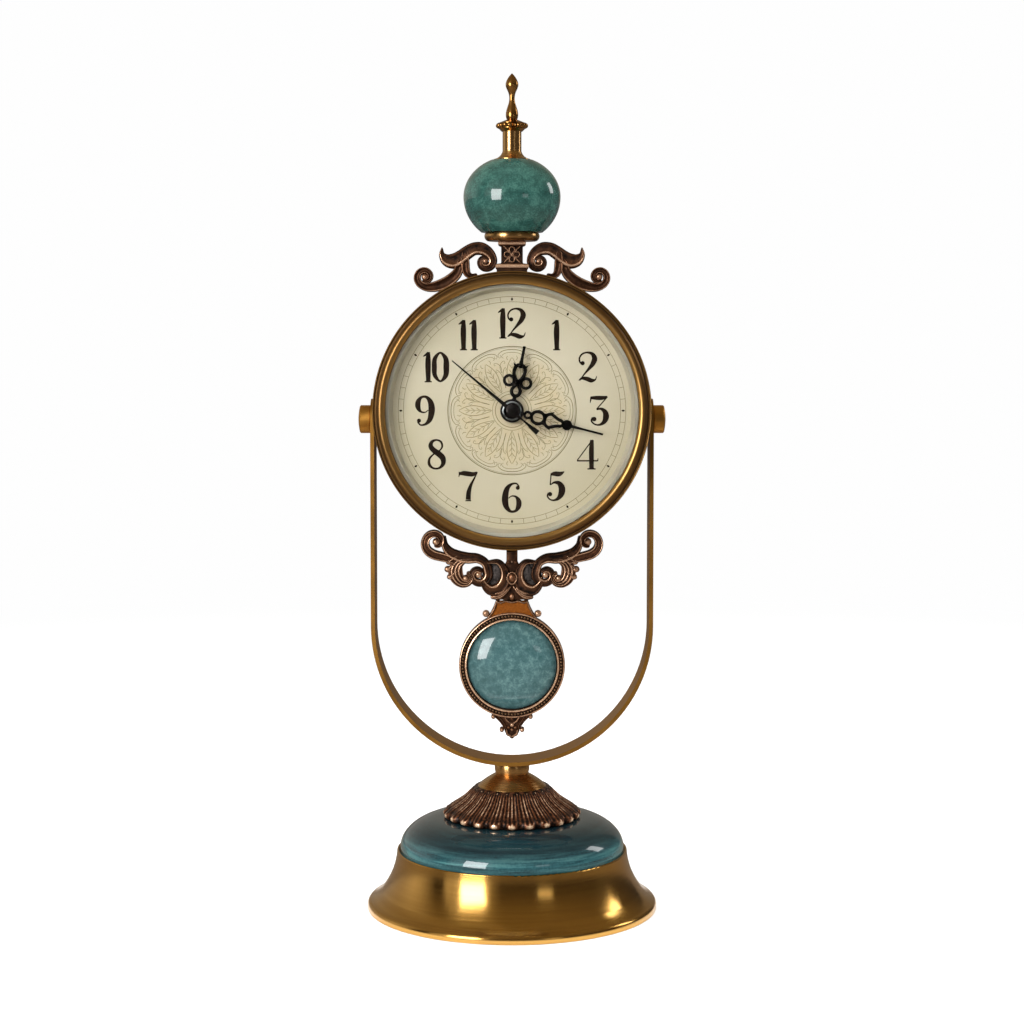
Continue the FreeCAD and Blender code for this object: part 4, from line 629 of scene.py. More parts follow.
# Steel, iron and aluminium: cool greys, bright where plated and rough where cast.
STEEL = Metal("steel_bright_zinc_plated", "#B9BCBE", "#8E9294", 14.0, 0.4, 0.25, 0.38)
GREY_IRON = Metal("grey_iron_sand_cast", "#55565A", "#37383B", 8.0, 0.7, 0.55, 0.7, 0.5)
SILVER = Metal("aluminium_ring_silvered", "#CFC8B8", "#A9A08E", 25.0, 0.3, 0.30, 0.40,
               metallic=0.35)
BLACK_HANDS = Metal("steel_hands_blackened", "#2B2726", "#141212", 6.0, 0.3, 0.28, 0.42, 0.06)
DRUM_PAINT = Metal("steel_drum_bronze_lacquered", "#6E4A2A", "#4A301B", 18.0, 0.5, 0.34, 0.46,
                   0.08)
CELL = Metal("steel_cell_can_lacquered", "#3E6C9B", "#2D5279", 9.0, 0.3, 0.2, 0.3, metallic=0.6)
# Wound wire: the turns lie level, so the grain is stretched sideways.
COPPER = Metal("copper_wire_wound", "#C77745", "#9E5327", 1.2, 0.12, 0.28, 0.4, 0.5,
                stretch=(0.15, 0.15, 1.0))
# Pressed felt swallows light and shows a pale bloom at its edges.
FELT = Matt("wool_felt_pressed", "#2E3A33", "#1D2620", 2.5, 0.5, 0.95, 0.8, sheen=0.5)
# Printing inks lie flat on the card and hardly shine.
INK = Matt("printing_ink_sepia", "#2C1C12", "#170D07", 1.6, 0.3, 0.55, 0.03, shine=0.1)
TRACK_INK = Matt("printing_ink_grey_brown", "#75684C", "#5C4F38", 2.0, 0.3, 0.6, 0.02, shine=0.1)
LEAF_INK = Matt("printing_ink_pale_sepia", "#8A7A52", "#6A5A38", 1.5, 0.3, 0.6, 0.02, shine=0.1)
FINE_INK = Matt("printing_ink_olive", "#7B6F47", "#5C5032", 2.0, 0.3, 0.6, 0.02, shine=0.1)
# Mouldings and board inside the movement: soft plastic gloss.
BLACK_MOULDING = Matt("styrene_black_moulded", "#232427", "#17181A", 6.0, 0.35, 0.42, 0.12)
WHITE_MOULDING = Matt("acetal_white_moulded", "#E4E2DA", "#D2CFC4", 4.0, 0.3, 0.4)
BOARD = Matt("glass_epoxy_board_green", "#2F6B45", "#235437", 3.0, 0.3, 0.4)
GLASS = WindowGlass("float_glass_clear")
DIAL_CARD = DialPaint("dial_card_cream_varnished", centre=HEAD_CENTRE)
FLOOR_PAINT = FloorPaint("studio_floor_matt_white")

CAD_FINISHES = {
    SPUN_BRASS: ("base_skirt",),
    CONE_BRASS: ("base_cone", "neck_ring", "ball_collar", "ball_cap"),
    OLD_BRASS: ("finial", "beaded_ring"),
    KNOB_BRASS: ("right_pivot_knob", "left_pivot_knob"),
    TURNED_BRASS: ("pivot_bushes", "battery_contacts", "hour_wheel", "second_wheel",
                   "cannon_pinion"),
    AGED_BRASS: ("bezel",),
    YOKE_BRASS: ("yoke",),
    CASTING: ("crest_pedestal", "left_crest_scroll", "right_crest_scroll", "pendulum_scroll",
              "medallion_frame", "bead_ring"),
    PETALS: ("petal_collar",),
    DOME_GLAZE: ("ceramic_dome",),
    BALL_GLAZE: ("ceramic_ball",),
    CABOCHON_GLAZE: ("cabochon",),
    STEEL: ("base_plate", "spacer_tube", "tie_bolt", "cover_screws", "mount_nut", "middle_plate",
            "stator_plate", "crest_bolt", "pendulum_screws", "drive_magnet", "pendulum_hanger"),
    GREY_IRON: ("base_weight",),
    SILVER: ("inner_ring",),
    DRUM_PAINT: ("drum_case", "back_cover", "medallion_back", "pendulum_rod"),
    FELT: ("felt_pad",),
    BLACK_HANDS: ("hour_hand", "minute_hand", "second_hand"),
    BLACK_MOULDING: ("movement_case", "movement_cover", "set_knob", "pendulum_coil",
                     "friction_washers"),
    WHITE_MOULDING: ("reverser_wheel", "intermediate_wheel", "stepper_rotor"),
    COPPER: ("drive_coil",),
    BOARD: ("circuit_board",),
    CELL: ("battery",),
    GLASS: ("crystal",),
    DIAL_CARD: ("dial_plate",),
}


@dataclass
class Shell:
    """A closed surface as points, four-cornered faces and the wear at each point.

    A face that repeats a corner is a triangle at a pole.
    """

    points: np.ndarray
    quads: np.ndarray
    wear: np.ndarray

    def outward(self) -> "Shell":
        """Return the shell with its faces turned outwards, by the sign of its volume."""
        a, b, c, d = (self.points[self.quads[:, index]] for index in range(4))
        volume = np.einsum("ij,ij->", a, np.cross(b, c)) + np.einsum("ij,ij->", a, np.cross(c, d))
        return self if volume >= 0 else Shell(self.points, self.quads[:, ::-1], self.wear)

    def mirrored(self, way: Mirror = Mirror.ACROSS) -> "Shell":
        """Return the twin on the other side of the clock, or behind its middle plane."""
        flip = np.ones(3)
        flip[way.value] = -1.0
        return Shell(self.points * flip, self.quads[:, ::-1], self.wear)

    def aimed(self, clock_angle: float, height: float) -> "Shell":
        """Return the shell turned clockwise about an axis of depth, as the reader sees it.

        Args:
            clock_angle: Turn in degrees.
            height: Height of the axis, which stands at x of zero.

        Returns:
            The turned shell.
        """
        turn = math.radians(clock_angle)
        x, y, z = self.points.T
        rise = z - height
        points = np.stack([x * math.cos(turn) + rise * math.sin(turn), y,
                           height + rise * math.cos(turn) - x * math.sin(turn)], axis=1)
        return Shell(points, self.quads, self.wear)

    def ringed(self, count: int, height: float) -> list["Shell"]:
        """Return copies that are aimed evenly round an axis of depth."""
        return [self.aimed(360 / count * index, height) for index in range(count)]

    def turned(self, turn: float) -> "Shell":
        """Return the shell turned about the vertical axis.

        Args:
            turn: Turn in radians.

        Returns:
            The turned shell.
        """
        x, y, z = self.points.T
        points = np.stack([x * math.cos(turn) - y * math.sin(turn),
                           x * math.sin(turn) + y * math.cos(turn), z], axis=1)
        return Shell(points, self.quads, self.wear)

    def spread(self, count: int) -> list["Shell"]:
        """Return copies turned evenly about the vertical axis."""
        return [self.turned(2 * math.pi * index / count) for index in range(count)]


def grid(points: np.ndarray, wear: Optional[np.ndarray] = None, wrap_rows: bool = False) -> Shell:
    """Join a grid of points to a surface: each face spans two neighbouring rows and columns.

    Args:
        points: Array of rows, columns and three coordinates; the last column joins the first.
        wear: Array of rows and columns, from 0 in a hollow to 1 on a rubbed ridge.
        wrap_rows: Whether the last row joins the first.

    Returns:
        The surface, with a pole where an end row lies in one point.
    """
    rows, columns = points.shape[:2]
    index = np.arange(rows * columns).reshape(rows, columns)
    for end in (0, -1):
        if not wrap_rows and np.ptp(points[end], axis=0).max() < ALMOST_NIL:
            index[end] = index[end, 0]
    if wrap_rows:
        index = np.vstack([index, index[:1]])
    index = np.hstack([index, index[:, :1]])
    quads = np.stack([index[:-1, :-1], index[:-1, 1:], index[1:, 1:], index[1:, :-1]], axis=-1)
    worn = np.full((rows, columns), 0.5) if wear is None else wear
    return Shell(points.reshape(-1, 3), quads.reshape(-1, 4), worn.reshape(-1)).outward()


def lathe(profile: Sequence, segments: int, axis: Axis = Axis.VERTICAL,
          centre: Place = (0.0, 0.0, 0.0), closed: bool = False) -> Shell:
    """Turn a profile about an axis: place = centre + radius (cos a, sin a) + height along the axis.

    Args:
        profile: Rows of radius, height and, if wanted, wear.
        segments: Steps round the axis.
        axis: The axis that the profile turns about.
        centre: A point on the axis, from which the heights count.
        closed: Whether the profile's last point joins its first.

    Returns:
        The turned surface.
    """
    rows = np.asarray(profile, float)
    angle = np.linspace(0, 2 * math.pi, segments, endpoint=False)
    across = rows[:, :1] * np.cos(angle)
    over = rows[:, :1] * np.sin(angle)
    along = np.repeat(rows[:, 1:2], segments, axis=1)
    order = (across, over, along) if axis is Axis.VERTICAL else (across, along, over)
    points = np.stack(order, axis=-1) + np.asarray(centre)
    wear = np.repeat(rows[:, 2:3], segments, axis=1) if rows.shape[1] > 2 else None
    return grid(points, wear, wrap_rows=closed)


def spline(stations: Sequence, samples: int, closed: bool = False) -> np.ndarray:
    """Run a smooth curve through stations: cubic pieces whose slopes are the mean of both chords.

    Args:
        stations: Rows of numbers; the first two set the distance along the curve.
        samples: Number of rows to return.
        closed: Whether the curve returns to its start.

    Returns:
        Rows along the curve at even steps.
    """
    rows = np.asarray(stations, float)
    lead = CLOSED_LEAD if closed else 0
    if closed:
        rows = np.vstack([rows[-lead:], rows, rows[:lead + 1]])
    step = np.maximum(np.linalg.norm(np.diff(rows[:, :2], axis=0), axis=1), ALMOST_NIL)
    reach = np.concatenate([[0.0], np.cumsum(step)])
    slope = np.gradient(rows, reach, axis=0)
    at = np.linspace(reach[lead], reach[len(rows) - 1 - lead], samples, endpoint=not closed)
    index = np.clip(np.searchsorted(reach, at, side="right") - 1, 0, len(reach) - 2)
    span = (reach[index + 1] - reach[index])[:, None]
    share = ((at - reach[index]) / span[:, 0])[:, None]
    square, cube = share ** 2, share ** 3
    start = (2 * cube - 3 * square + 1) * rows[index]
    start += (cube - 2 * square + share) * span * slope[index]
    finish = (3 * square - 2 * cube) * rows[index + 1]
    finish += (cube - square) * span * slope[index + 1]
    return start + finish


@dataclass(frozen=True)
class Section:
    """Cross-section of a ribbon: rows of place across, rise above the flank and wear.

    Place across runs from -1 to 1 in half widths, and rise is 0 at the flank's top and 1 at the
    highest relief.
    """

    across: tuple[float, ...]
    rise: tuple[float, ...]
    wear: tuple[float, ...]


def bell(across: np.ndarray, middle: float, width: float) -> np.ndarray:
    """Bell shape of height one round a middle: e to the power of minus the squared distance."""
    return np.exp(-((across - middle) / width) ** 2)


def carved_section(rim: float, hollow: float, rib: float, count: int = 17) -> Section:
    """Section of a carved scroll arm.

    Between two rims the surface is a hollow, whose depth grows with the square of the distance from
    a rim, with a rounded rib of a bell shape along its middle. Outside the rims it falls in a
    quarter round. Rims and rib are worn bright.

    Args:
        rim: Place of the rims, as a share of the half width.
        hollow: Depth of the hollow, as a share of the relief.
        rib: Height of the rib, as a share of the relief.
        count: Number of points across.

    Returns:
        The section.
    """
    across = np.sin(np.linspace(-math.pi / 2, math.pi / 2, count))
    reach = np.abs(across)
    inside = 1 - hollow * (1 - np.minimum(reach / rim, 1) ** 2) + rib * bell(across, 0.0, 0.17)
    fall = np.clip((reach - rim) / (1 - rim), 0, 1)
    rise = np.where(reach <= rim, inside, np.sqrt(np.clip(1 - fall ** 2, 0, 1)))
    wear = 0.12 + 0.85 * bell(reach, rim, 0.13) + 0.5 * rib * bell(across, 0.0, 0.2)
    wear = np.where(reach > EDGE, 0.15, wear + 0.06 * (1 - reach))
    return Section(tuple(across), tuple(rise), tuple(np.clip(wear, 0, 1)))


def leaning_section() -> Section:
    """Section of an arm that leans: a sharp ridge near one edge, with a dark channel beside it.

    The rise is a bell round the ridge and a lower one at the other edge, over a slope that climbs
    towards the ridge.
    """
    across = np.sin(np.linspace(-math.pi / 2, math.pi / 2, 17))
    ridge, second = bell(across, -0.62, 0.20), 0.45 * bell(across, 0.78, 0.14)
    slope = 0.45 - 0.2 * across
    rise = np.clip(slope + 0.55 * ridge + second, 0, 1) * np.sqrt(np.clip(1 - across ** 6, 0, 1))
    wear = np.clip(0.06 + 0.94 * ridge + 0.40 * second + 0.16 * bell(across, -0.1, 0.2), 0, 1)
    wear = np.where(np.abs(across) > EDGE, 0.1, wear)
    return Section(tuple(across), tuple(rise), tuple(wear))


def veined_section() -> Section:
    """Section of a leaf with veins: a low vault, rippled by four waves of a cosine."""
    across = np.linspace(-1, 1, 33)
    ripple = (1 + np.cos(math.pi * 4 * (across + 1))) / 2
    rise = np.sqrt(np.clip(1 - across ** 2, 0, 1)) * (0.62 + 0.38 * ripple)
    return Section(tuple(across), tuple(rise), tuple(np.clip(0.08 + 0.8 * ripple ** 1.5, 0, 1)))


FLUTED = carved_section(0.74, 0.75, 0.35)
HOLLOWED = carved_section(0.80, 0.95, 0.0)
ROUNDED = carved_section(0.30, 0.0, 0.0, 13)
LEANING = leaning_section()
VEINED = veined_section()
STAMPED = Section((-1.0, -0.8, 0.8, 1.0), (0.0, 1.0, 1.0, 0.0), (0.4, 0.6, 0.6, 0.4))
SLAB = Section((-1.0, 1.0), (1.0, 1.0), (0.5, 0.5))
SHEET = Section((-1.0, -0.5, 0.5, 1.0), (1.0, 1.0, 1.0, 1.0), (0.5, 0.5, 0.5, 0.5))
LOW = Section((-1.0, -0.94, -0.8, 0.0, 0.8, 0.94, 1.0), (0.0, 0.7, 1.0, 1.0, 1.0, 0.7, 0.0),
              (0.1, 0.5, 0.2, 0.12, 0.2, 0.5, 0.1))


def ribbon(line: Sequence, section: Section, front: float, back: float, relief: float,
           samples: int, closed: bool = False, ends: tuple[End, End] = (End.ROUND, End.ROUND),
           full_half: float = 0.0) -> Shell:
    """Carry a section along a curve in the plane that faces the reader.

    A point is the curve's place, plus half the width times the place across along the curve's
    normal; its depth is the flank's front less the relief times the rise. A narrow stretch of the
    curve has its relief scaled with the square root of its width.

    Args:
        line: Rows of x, z and half width.
        section: The cross-section.
        front: Depth y of the flank's top.
        back: Depth y of the flat back.
        relief: Height of the relief in front of the flank.
        samples: Steps along the curve.
        closed: Whether the curve is a loop.
        ends: Form of the first and the last end.
        full_half: Half width at which the relief has its full height; zero keeps it constant.

    Returns:
        A closed shell.
    """
    path = spline(line, samples, closed)
    place, half = path[:, :2], path[:, 2]
    if closed:
        run = np.roll(place, -1, axis=0) - np.roll(place, 1, axis=0)
    else:
        run = np.gradient(place, axis=0)
    run /= np.maximum(np.linalg.norm(run, axis=1), ALMOST_NIL)[:, None]
    if not closed:
        place, half, run = rounded_ends(place, half, run, ends)
    normal = np.stack([-run[:, 1], run[:, 0]], axis=1)
    across = np.array(section.across + section.across[::-1])
    rise = np.array(section.rise + (0.0,) * len(section.rise))
    worn = np.array(section.wear + (BACK_WEAR,) * len(section.wear))
    scale = np.ones(len(half))
    if full_half > 0:
        scale = np.sqrt(np.clip(half / full_half, LEAST_RELIEF, 1.0))
    flat = place[:, None, :] + normal[:, None, :] * (half[:, None] * across)[:, :, None]
    depth = front - relief * scale[:, None] * rise
    depth[:, len(section.rise):] = back
    points = np.stack([flat[:, :, 0], depth, flat[:, :, 1]], axis=-1)
    wear = np.repeat(worn[None, :], len(half), axis=0)
    if not closed:
        first, last = (np.repeat(row.mean(axis=1, keepdims=True), len(across), axis=1)
                       for row in (points[:1], points[-1:]))
        points = np.concatenate([first, points, last])
        wear = np.concatenate([wear[:1], wear, wear[-1:]])
    return grid(points, wear, wrap_rows=closed)


def rounded_ends(place: np.ndarray, half: np.ndarray, run: np.ndarray,
                 ends: tuple[End, End]) -> tuple[np.ndarray, np.ndarray, np.ndarray]:
    """Lengthen a curve by half circles: a step at angle a lies half times sin a ahead.

    It is cos a times as wide.

    Args:
        place: Rows of x and z.
        half: Half width at each row.
        run: Direction at each row.
        ends: Form of the first and the last end.

    Returns:
        Places, half widths and directions with the round ends added.
    """
    angle = np.radians([20.0, 40.0, 58.0, 74.0, 86.0])
    if ends[0] is End.ROUND:
        ahead = place[0] - run[0] * (half[0] * np.sin(angle[::-1]))[:, None]
        place = np.vstack([ahead, place])
        half = np.concatenate([half[0] * np.cos(angle[::-1]), half])
        run = np.vstack([np.repeat(run[:1], len(angle), axis=0), run])
    if ends[1] is End.ROUND:
        ahead = place[-1] + run[-1] * (half[-1] * np.sin(angle))[:, None]
        place = np.vstack([place, ahead])
        half = np.concatenate([half, half[-1] * np.cos(angle)])
        run = np.vstack([run, np.repeat(run[-1:], len(angle), axis=0)])
    return place, half, run


def oval(x: float, y: float, z: float, wide: float, high: float, bulge: float, wear: float,
         foot: float) -> Shell:
    """Oval boss that faces the reader: a half ellipse over a flat foot, stretched in height.

    Args:
        x: Place of its middle across.
        y: Depth of its rim.
        z: Height of its middle.
        wide: Half its width.
        high: Half its height.
        bulge: Height in front of the rim.
        wear: Wear of its top.
        foot: Depth of the foot behind the rim.

    Returns:
        The boss.
    """
    rows = [(0.0, foot, 0.1), (wide, foot, 0.1)]
    for a in np.linspace(0, math.pi / 2, 8):
        rows.append((wide * math.cos(a), -bulge * math.sin(a), wear * (0.4 + 0.6 * math.sin(a))))
    rows[-1] = (0.0, -bulge, wear)
    boss = lathe(rows, 24, Axis.DEPTH, (x, y, z))
    boss.points[:, 2] = z + (boss.points[:, 2] - z) * high / wide
    return boss


def button(x: float, y: float, z: float, radius: float, bulge: float, wear: float,
           foot: float) -> Shell:
    """Round boss that faces the reader."""
    return oval(x, y, z, radius, radius, bulge, wear, foot)


def disc(x: float, z: float, radius: float, front: float, back: float, segments: int = 24) -> Shell:
    """Flat round plate that faces the reader."""
    rows = [(0.0, front), (radius, front), (radius, back), (0.0, back)]
    return lathe(rows, segments, Axis.DEPTH, (x, 0.0, z))


def hoop(x: float, z: float, radius: float, half: float, front: float, back: float,
         segments: int) -> Shell:
    """Flat ring that faces the reader, half as wide on either side of its radius as half says."""
    rows = [(radius - half, front), (radius + half, front), (radius + half, back),
            (radius - half, back)]
    return lathe(rows, segments, Axis.DEPTH, (x, 0.0, z), closed=True)


def twinned(shells: Sequence[Shell], way: Mirror = Mirror.ACROSS) -> list[Shell]:
    """Return shells and their mirrored twins."""
    return [*shells, *(shell.mirrored(way) for shell in shells)]


def piece(name: str, shells: Sequence[Shell], finish: Finish, body: Body,
          nodes: Sequence[str] = (), sharp: float = SHARP_DEGREES) -> None:
    """Make one object of shells, dress it and let it ride on its body.

    It lies at the origin, with its place in its mesh.

    Args:
        name: Name of the object.
        shells: Closed shells in millimetres.
        finish: Finish of the whole piece.
        body: Body that it rides on.
        nodes: CAD nodes that it stands for.
        sharp: Angle in degrees above which an edge stays crisp.
    """
    start = np.cumsum([0] + [len(shell.points) for shell in shells])
    points = np.concatenate([shell.points for shell in shells]) * MM
    quads = np.concatenate([shell.quads + first for shell, first in zip(shells, start)])
    wear = np.concatenate([shell.wear for shell in shells])
    used, inverse = np.unique(quads, return_inverse=True)
    quads = inverse.reshape(-1, 4)
    head_pole = quads[:, 0] == quads[:, 1]
    tail_pole = quads[:, 2] == quads[:, 3]
    faces = quads[~head_pole & ~tail_pole].tolist()
    faces += quads[head_pole][:, 1:].tolist() + quads[tail_pole][:, :3].tolist()
    mesh = bpy.data.meshes.new(name)
    mesh.from_pydata(points[used].tolist(), [], faces)
    attribute = mesh.attributes.new("wear", "FLOAT", "POINT")
    attribute.data.foreach_set("value", wear[used].astype(np.float32))
    mesh.polygons.foreach_set("use_smooth", np.ones(len(mesh.polygons), dtype=bool))
    mesh.set_sharp_from_angle(angle=math.radians(sharp))
    mesh.materials.append(finish.material())
    made = bpy.data.objects.new(name, mesh)
    bpy.context.scene.collection.objects.link(made)
    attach(made, body.value)
    if nodes:
        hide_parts(*nodes)
    LOG.info("%s: %d faces", name, len(faces))


@dataclass(frozen=True)
class Glyph:
    """Numeral as pen strokes: lines of x, z and half width, in thousandths of its height.

    Places count from its middle. A single station is a ball, and a loop's strokes are closed.
    """

    strokes: tuple
    loop: bool = False

    def turned_over(self) -> "Glyph":
        """Return the glyph turned by half a turn, as a nine is of a six."""
        return Glyph(tuple(tuple((-x, -z, half) for x, z, half in line) for line in self.strokes))


ONE = Glyph((((45, 490, 40), (35, 340, 62), (35, -470, 62)),
             ((30, 470, 30), (-45, 400, 30), (-130, 345, 12)),
             ((-85, -482, 18), (35, -478, 20), (150, -482, 18))))
TWO = Glyph((((-145, 85, 10), (-235, 135, 22), (-272, 260, 22), (-195, 410, 24), (-20, 474, 26),
              (155, 420, 50), (225, 280, 74), (175, 120, 66), (30, -70, 38), (-130, -260, 20),
              (-250, -440, 14)),
             ((-290, -440, 10), (-200, -375, 34), (-30, -385, 58), (130, -440, 56),
              (250, -410, 22), (295, -300, 10)),
             ((-165, 125, 58),)))
THREE = Glyph((((-280, 425, 36), (-100, 420, 56), (100, 420, 56), (270, 452, 26)),
               ((-265, 455, 24), (-280, 360, 20), (-300, 250, 8)),
               ((260, 450, 18), (70, 230, 16), (-90, 45, 18)),
               ((-90, 40, 18), (60, 60, 36), (185, -35, 66), (222, -190, 84), (155, -370, 58),
                (0, -465, 28), (-165, -435, 22), (-255, -320, 24), (-215, -215, 22)),
               ((-165, -275, 62),)))
FOUR = Glyph((((165, 480, 14), (-100, 120, 16), (-335, -200, 14)),
              ((-345, -215, 20), (0, -215, 20), (330, -215, 20)),
              ((335, -225, 18), (342, -180, 14), (345, -130, 8)),
              ((145, 470, 50), (135, 300, 62), (135, -470, 62)),
              ((0, -482, 18), (130, -478, 20), (270, -482, 18))))
FIVE = Glyph((((-160, 385, 30), (-30, 405, 62), (130, 400, 64), (290, 475, 12)),
              ((-145, 410, 18), (-160, 220, 16), (-175, 40, 18)),
              ((-175, 35, 12), (-50, 115, 30), (100, 100, 60), (205, -50, 88), (190, -250, 84),
               (80, -410, 48), (-60, -468, 26), (-200, -425, 20), (-265, -320, 22),
               (-225, -215, 22)),
              ((-180, -265, 60),)))
SIX = Glyph((((235, 360, 22), (145, 465, 22), (0, 452, 32), (-140, 330, 62), (-215, 100, 84),
              (-225, -120, 88), (-165, -330, 66), (-30, -455, 36), (105, -440, 36),
              (212, -290, 70), (220, -120, 70), (120, 35, 30), (-5, 55, 18), (-120, -20, 12)),
             ((190, 325, 56),)))
SEVEN = Glyph((((-310, 395, 24), (-190, 420, 60), (-20, 405, 68), (140, 390, 60), (290, 452, 24)),
               ((-295, 470, 20), (-300, 380, 18), (-315, 300, 10)),
               ((290, 460, 18), (190, 250, 24), (75, 20, 42), (10, -200, 62), (-10, -450, 70)),
               ((-100, -482, 16), (-10, -478, 18), (90, -482, 16))))
EIGHT = Glyph((((0, 468, 26), (-155, 400, 46), (-190, 270, 64), (-90, 130, 74), (75, 10, 82),
                (205, -130, 78), (215, -310, 58), (80, -455, 30), (-100, -460, 28),
                (-235, -340, 40), (-235, -160, 32), (-100, 0, 22), (100, 120, 20), (185, 250, 26),
                (150, 400, 30)),), loop=True)
ZERO = Glyph((((0, 466, 28), (165, 300, 64), (195, 0, 80), (165, -300, 64), (0, -466, 28),
               (-165, -300, 56), (-195, 0, 70), (-165, 300, 56)),), loop=True)


@dataclass
class DialPrint:
    """Numerals, minute track and rosette printed on the dial card.

    Each mark is a strip of ink; the rosette is an own traditional pattern of twelve arches, leaves
    and budding stems.
    """

    numeral_height: float = 17.6
    numeral_radius: float = 50.3
    track_inner: float = 62.6
    track_outer: float = 65.6
    marker_reach: float = 1.0
    marker_half: float = 0.62
    hairline: float = 0.11
    bold: float = 1.2
    minutes: int = 60
    hours: int = 12
    depths: tuple[float, float] = (DIAL_FACE - 0.05, DIAL_FACE + 0.03)

    def build(self) -> None:
        """Make the layers of print."""
        leaves, lines = self.rosette()
        for name, shells, ink in (("dial_numerals", self.numerals() + self.markers(), INK),
                                  ("dial_minute_track", self.track(), TRACK_INK),
                                  ("dial_rosette_leaves", leaves, LEAF_INK),
                                  ("dial_rosette_lines", lines, FINE_INK)):
            piece(name, shells, ink, Body.HEAD)

    def strip(self, line: Sequence, samples: int, closed: bool = False) -> Shell:
        """Strip of ink along a line of x, z and half width."""
        return ribbon(line, SLAB, *self.depths, 0.0, samples, closed, FLAT_ENDS)

    def circle(self, radius: float, half: float) -> Shell:
        """Circle of ink round the dial's middle."""
        return hoop(0.0, HEAD_Z, radius, half, *self.depths, 180)

    def glyph(self, glyph: Glyph, x: float, z: float) -> list[Shell]:
        """Set one glyph.

        Args:
            glyph: The glyph.
            x: Place of its middle across.
            z: Height of its middle.

        Returns:
            Its strokes.
        """
        size = self.numeral_height / 1000
        shells = []
        for line in glyph.strokes:
            spots = [(x + size * a, z + size * b, size * half * self.bold) for a, b, half in line]
            if len(spots) == 1:
                shells.append(disc(*spots[0], *self.depths))
            else:
                shells.append(self.strip(spots, (12 if glyph.loop else 9) * len(spots), glyph.loop))
        return shells

    def numerals(self) -> list[Shell]:
        """Set the twelve numerals upright at their hours; two-figure ones are side by side."""
        figures = [((one, 0.0),) for one in (ONE, TWO, THREE, FOUR, FIVE, SIX, SEVEN, EIGHT,
                                             SIX.turned_over())]
        figures += [((ONE, -0.30), (ZERO, 0.13)), ((ONE, -0.19), (ONE, 0.16)),
                    ((ONE, -0.33), (TWO, 0.14))]
        shells = []
        for hour, parts in enumerate(figures, 1):
            turn = 2 * math.pi * hour / self.hours
            x = self.numeral_radius * math.sin(turn)
            z = HEAD_Z + self.numeral_radius * math.cos(turn)
            for glyph, shift in parts:
                shells += self.glyph(glyph, x + shift * self.numeral_height, z)
        return shells

    def markers(self) -> list[Shell]:
        """Small lozenges on the minute track at the hours."""
        middle = HEAD_Z + (self.track_inner + self.track_outer) / 2
        tips = [(0.0, middle + way * self.marker_reach, 0.06) for way in (-1, 1)]
        lozenge = self.strip([tips[0], (0.0, middle, self.marker_half), tips[1]], 5)
        return lozenge.ringed(self.hours, HEAD_Z)

    def track(self) -> list[Shell]:
        """Two hairline circles with a tick at each minute between them."""
        radii = (self.track_inner, self.track_outer)
        tick = self.strip([(0.0, HEAD_Z + radius, self.hairline) for radius in radii], 2)
        ticks = tick.ringed(self.minutes, HEAD_Z)
        return [*(self.circle(radius, self.hairline) for radius in radii),
                *(tick for minute, tick in enumerate(ticks) if minute % 5)]

    def rosette(self) -> tuple[list[Shell], list[Shell]]:
        """Draw one twelfth of the rosette upright, then set copies of it round the dial.

        Half widths are in hairlines.

        Returns:
            The leaves and the lines.
        """
        leaf = [(0.35, 12.0, 1.0), (2.0, 17.0, 1.3), (2.9, 22.0, 1.5), (2.1, 27.0, 1.3),
                (0.2, 30.6, 1.0)]
        spine = [(0.0, 11.5, 1.0), (0.25, 18.0, 1.0), (0.0, 27.5, 0.7)]
        veins = [[(0.1, level, 0.8), (1.0, level + 1.5, 1.2), (1.75, level + 2.3, 0.7)]
                 for level in (15.0, 18.2, 21.4, 24.4)]
        stems = [[(0.0, 35.2, 1.6), (3.6, 34.9, 1.6), (6.6, 33.7, 1.4), (8.2, 31.6, 1.2),
                  (7.3, 30.2, 1.0), (6.2, 31.1, 1.0), (6.8, 32.0, 1.0)],
                 [(0.0, 33.6, 1.0), (3.2, 33.3, 1.0), (5.4, 32.2, 1.0), (5.9, 30.6, 1.0),
                  (5.0, 30.3, 1.0)],
                 [(3.55, 13.0, 1.0), (4.9, 18.4, 1.0), (5.0, 22.6, 1.3), (3.9, 25.0, 1.0),
                  (3.2, 23.6, 1.0), (4.0, 22.9, 0.8)],
                 [(5.9, 21.7, 1.0), (6.9, 24.5, 1.2), (6.3, 27.4, 1.0), (4.6, 28.6, 1.0),
                  (4.1, 27.4, 1.0), (4.9, 27.0, 0.8)]]
        bud = [(2.3, 29.2, 0.8), (3.1, 30.3, 1.2), (2.6, 31.6, 0.8)]

        def drawn(line: Sequence, samples: int = 12) -> Shell:
            """Strip along a line whose half widths are in hairlines."""
            return self.strip([(x, HEAD_Z + z, half * self.hairline) for x, z, half in line],
                              samples)

        leaves = twinned([drawn(leaf), *(drawn(vein, 6) for vein in veins)]) + [drawn(spine)]
        lines = twinned([*(drawn(stem) for stem in stems), drawn(bud, 6)])
        leaves, lines = ([copy for shell in part for copy in shell.ringed(self.hours, HEAD_Z)]
                         for part in (leaves, lines))
        lines += [self.circle(radius, half)
                  for radius, half in ((37.0, 0.22), (36.3, 0.08), (9.6, 0.16), (11.3, 0.10))]
        return leaves, lines


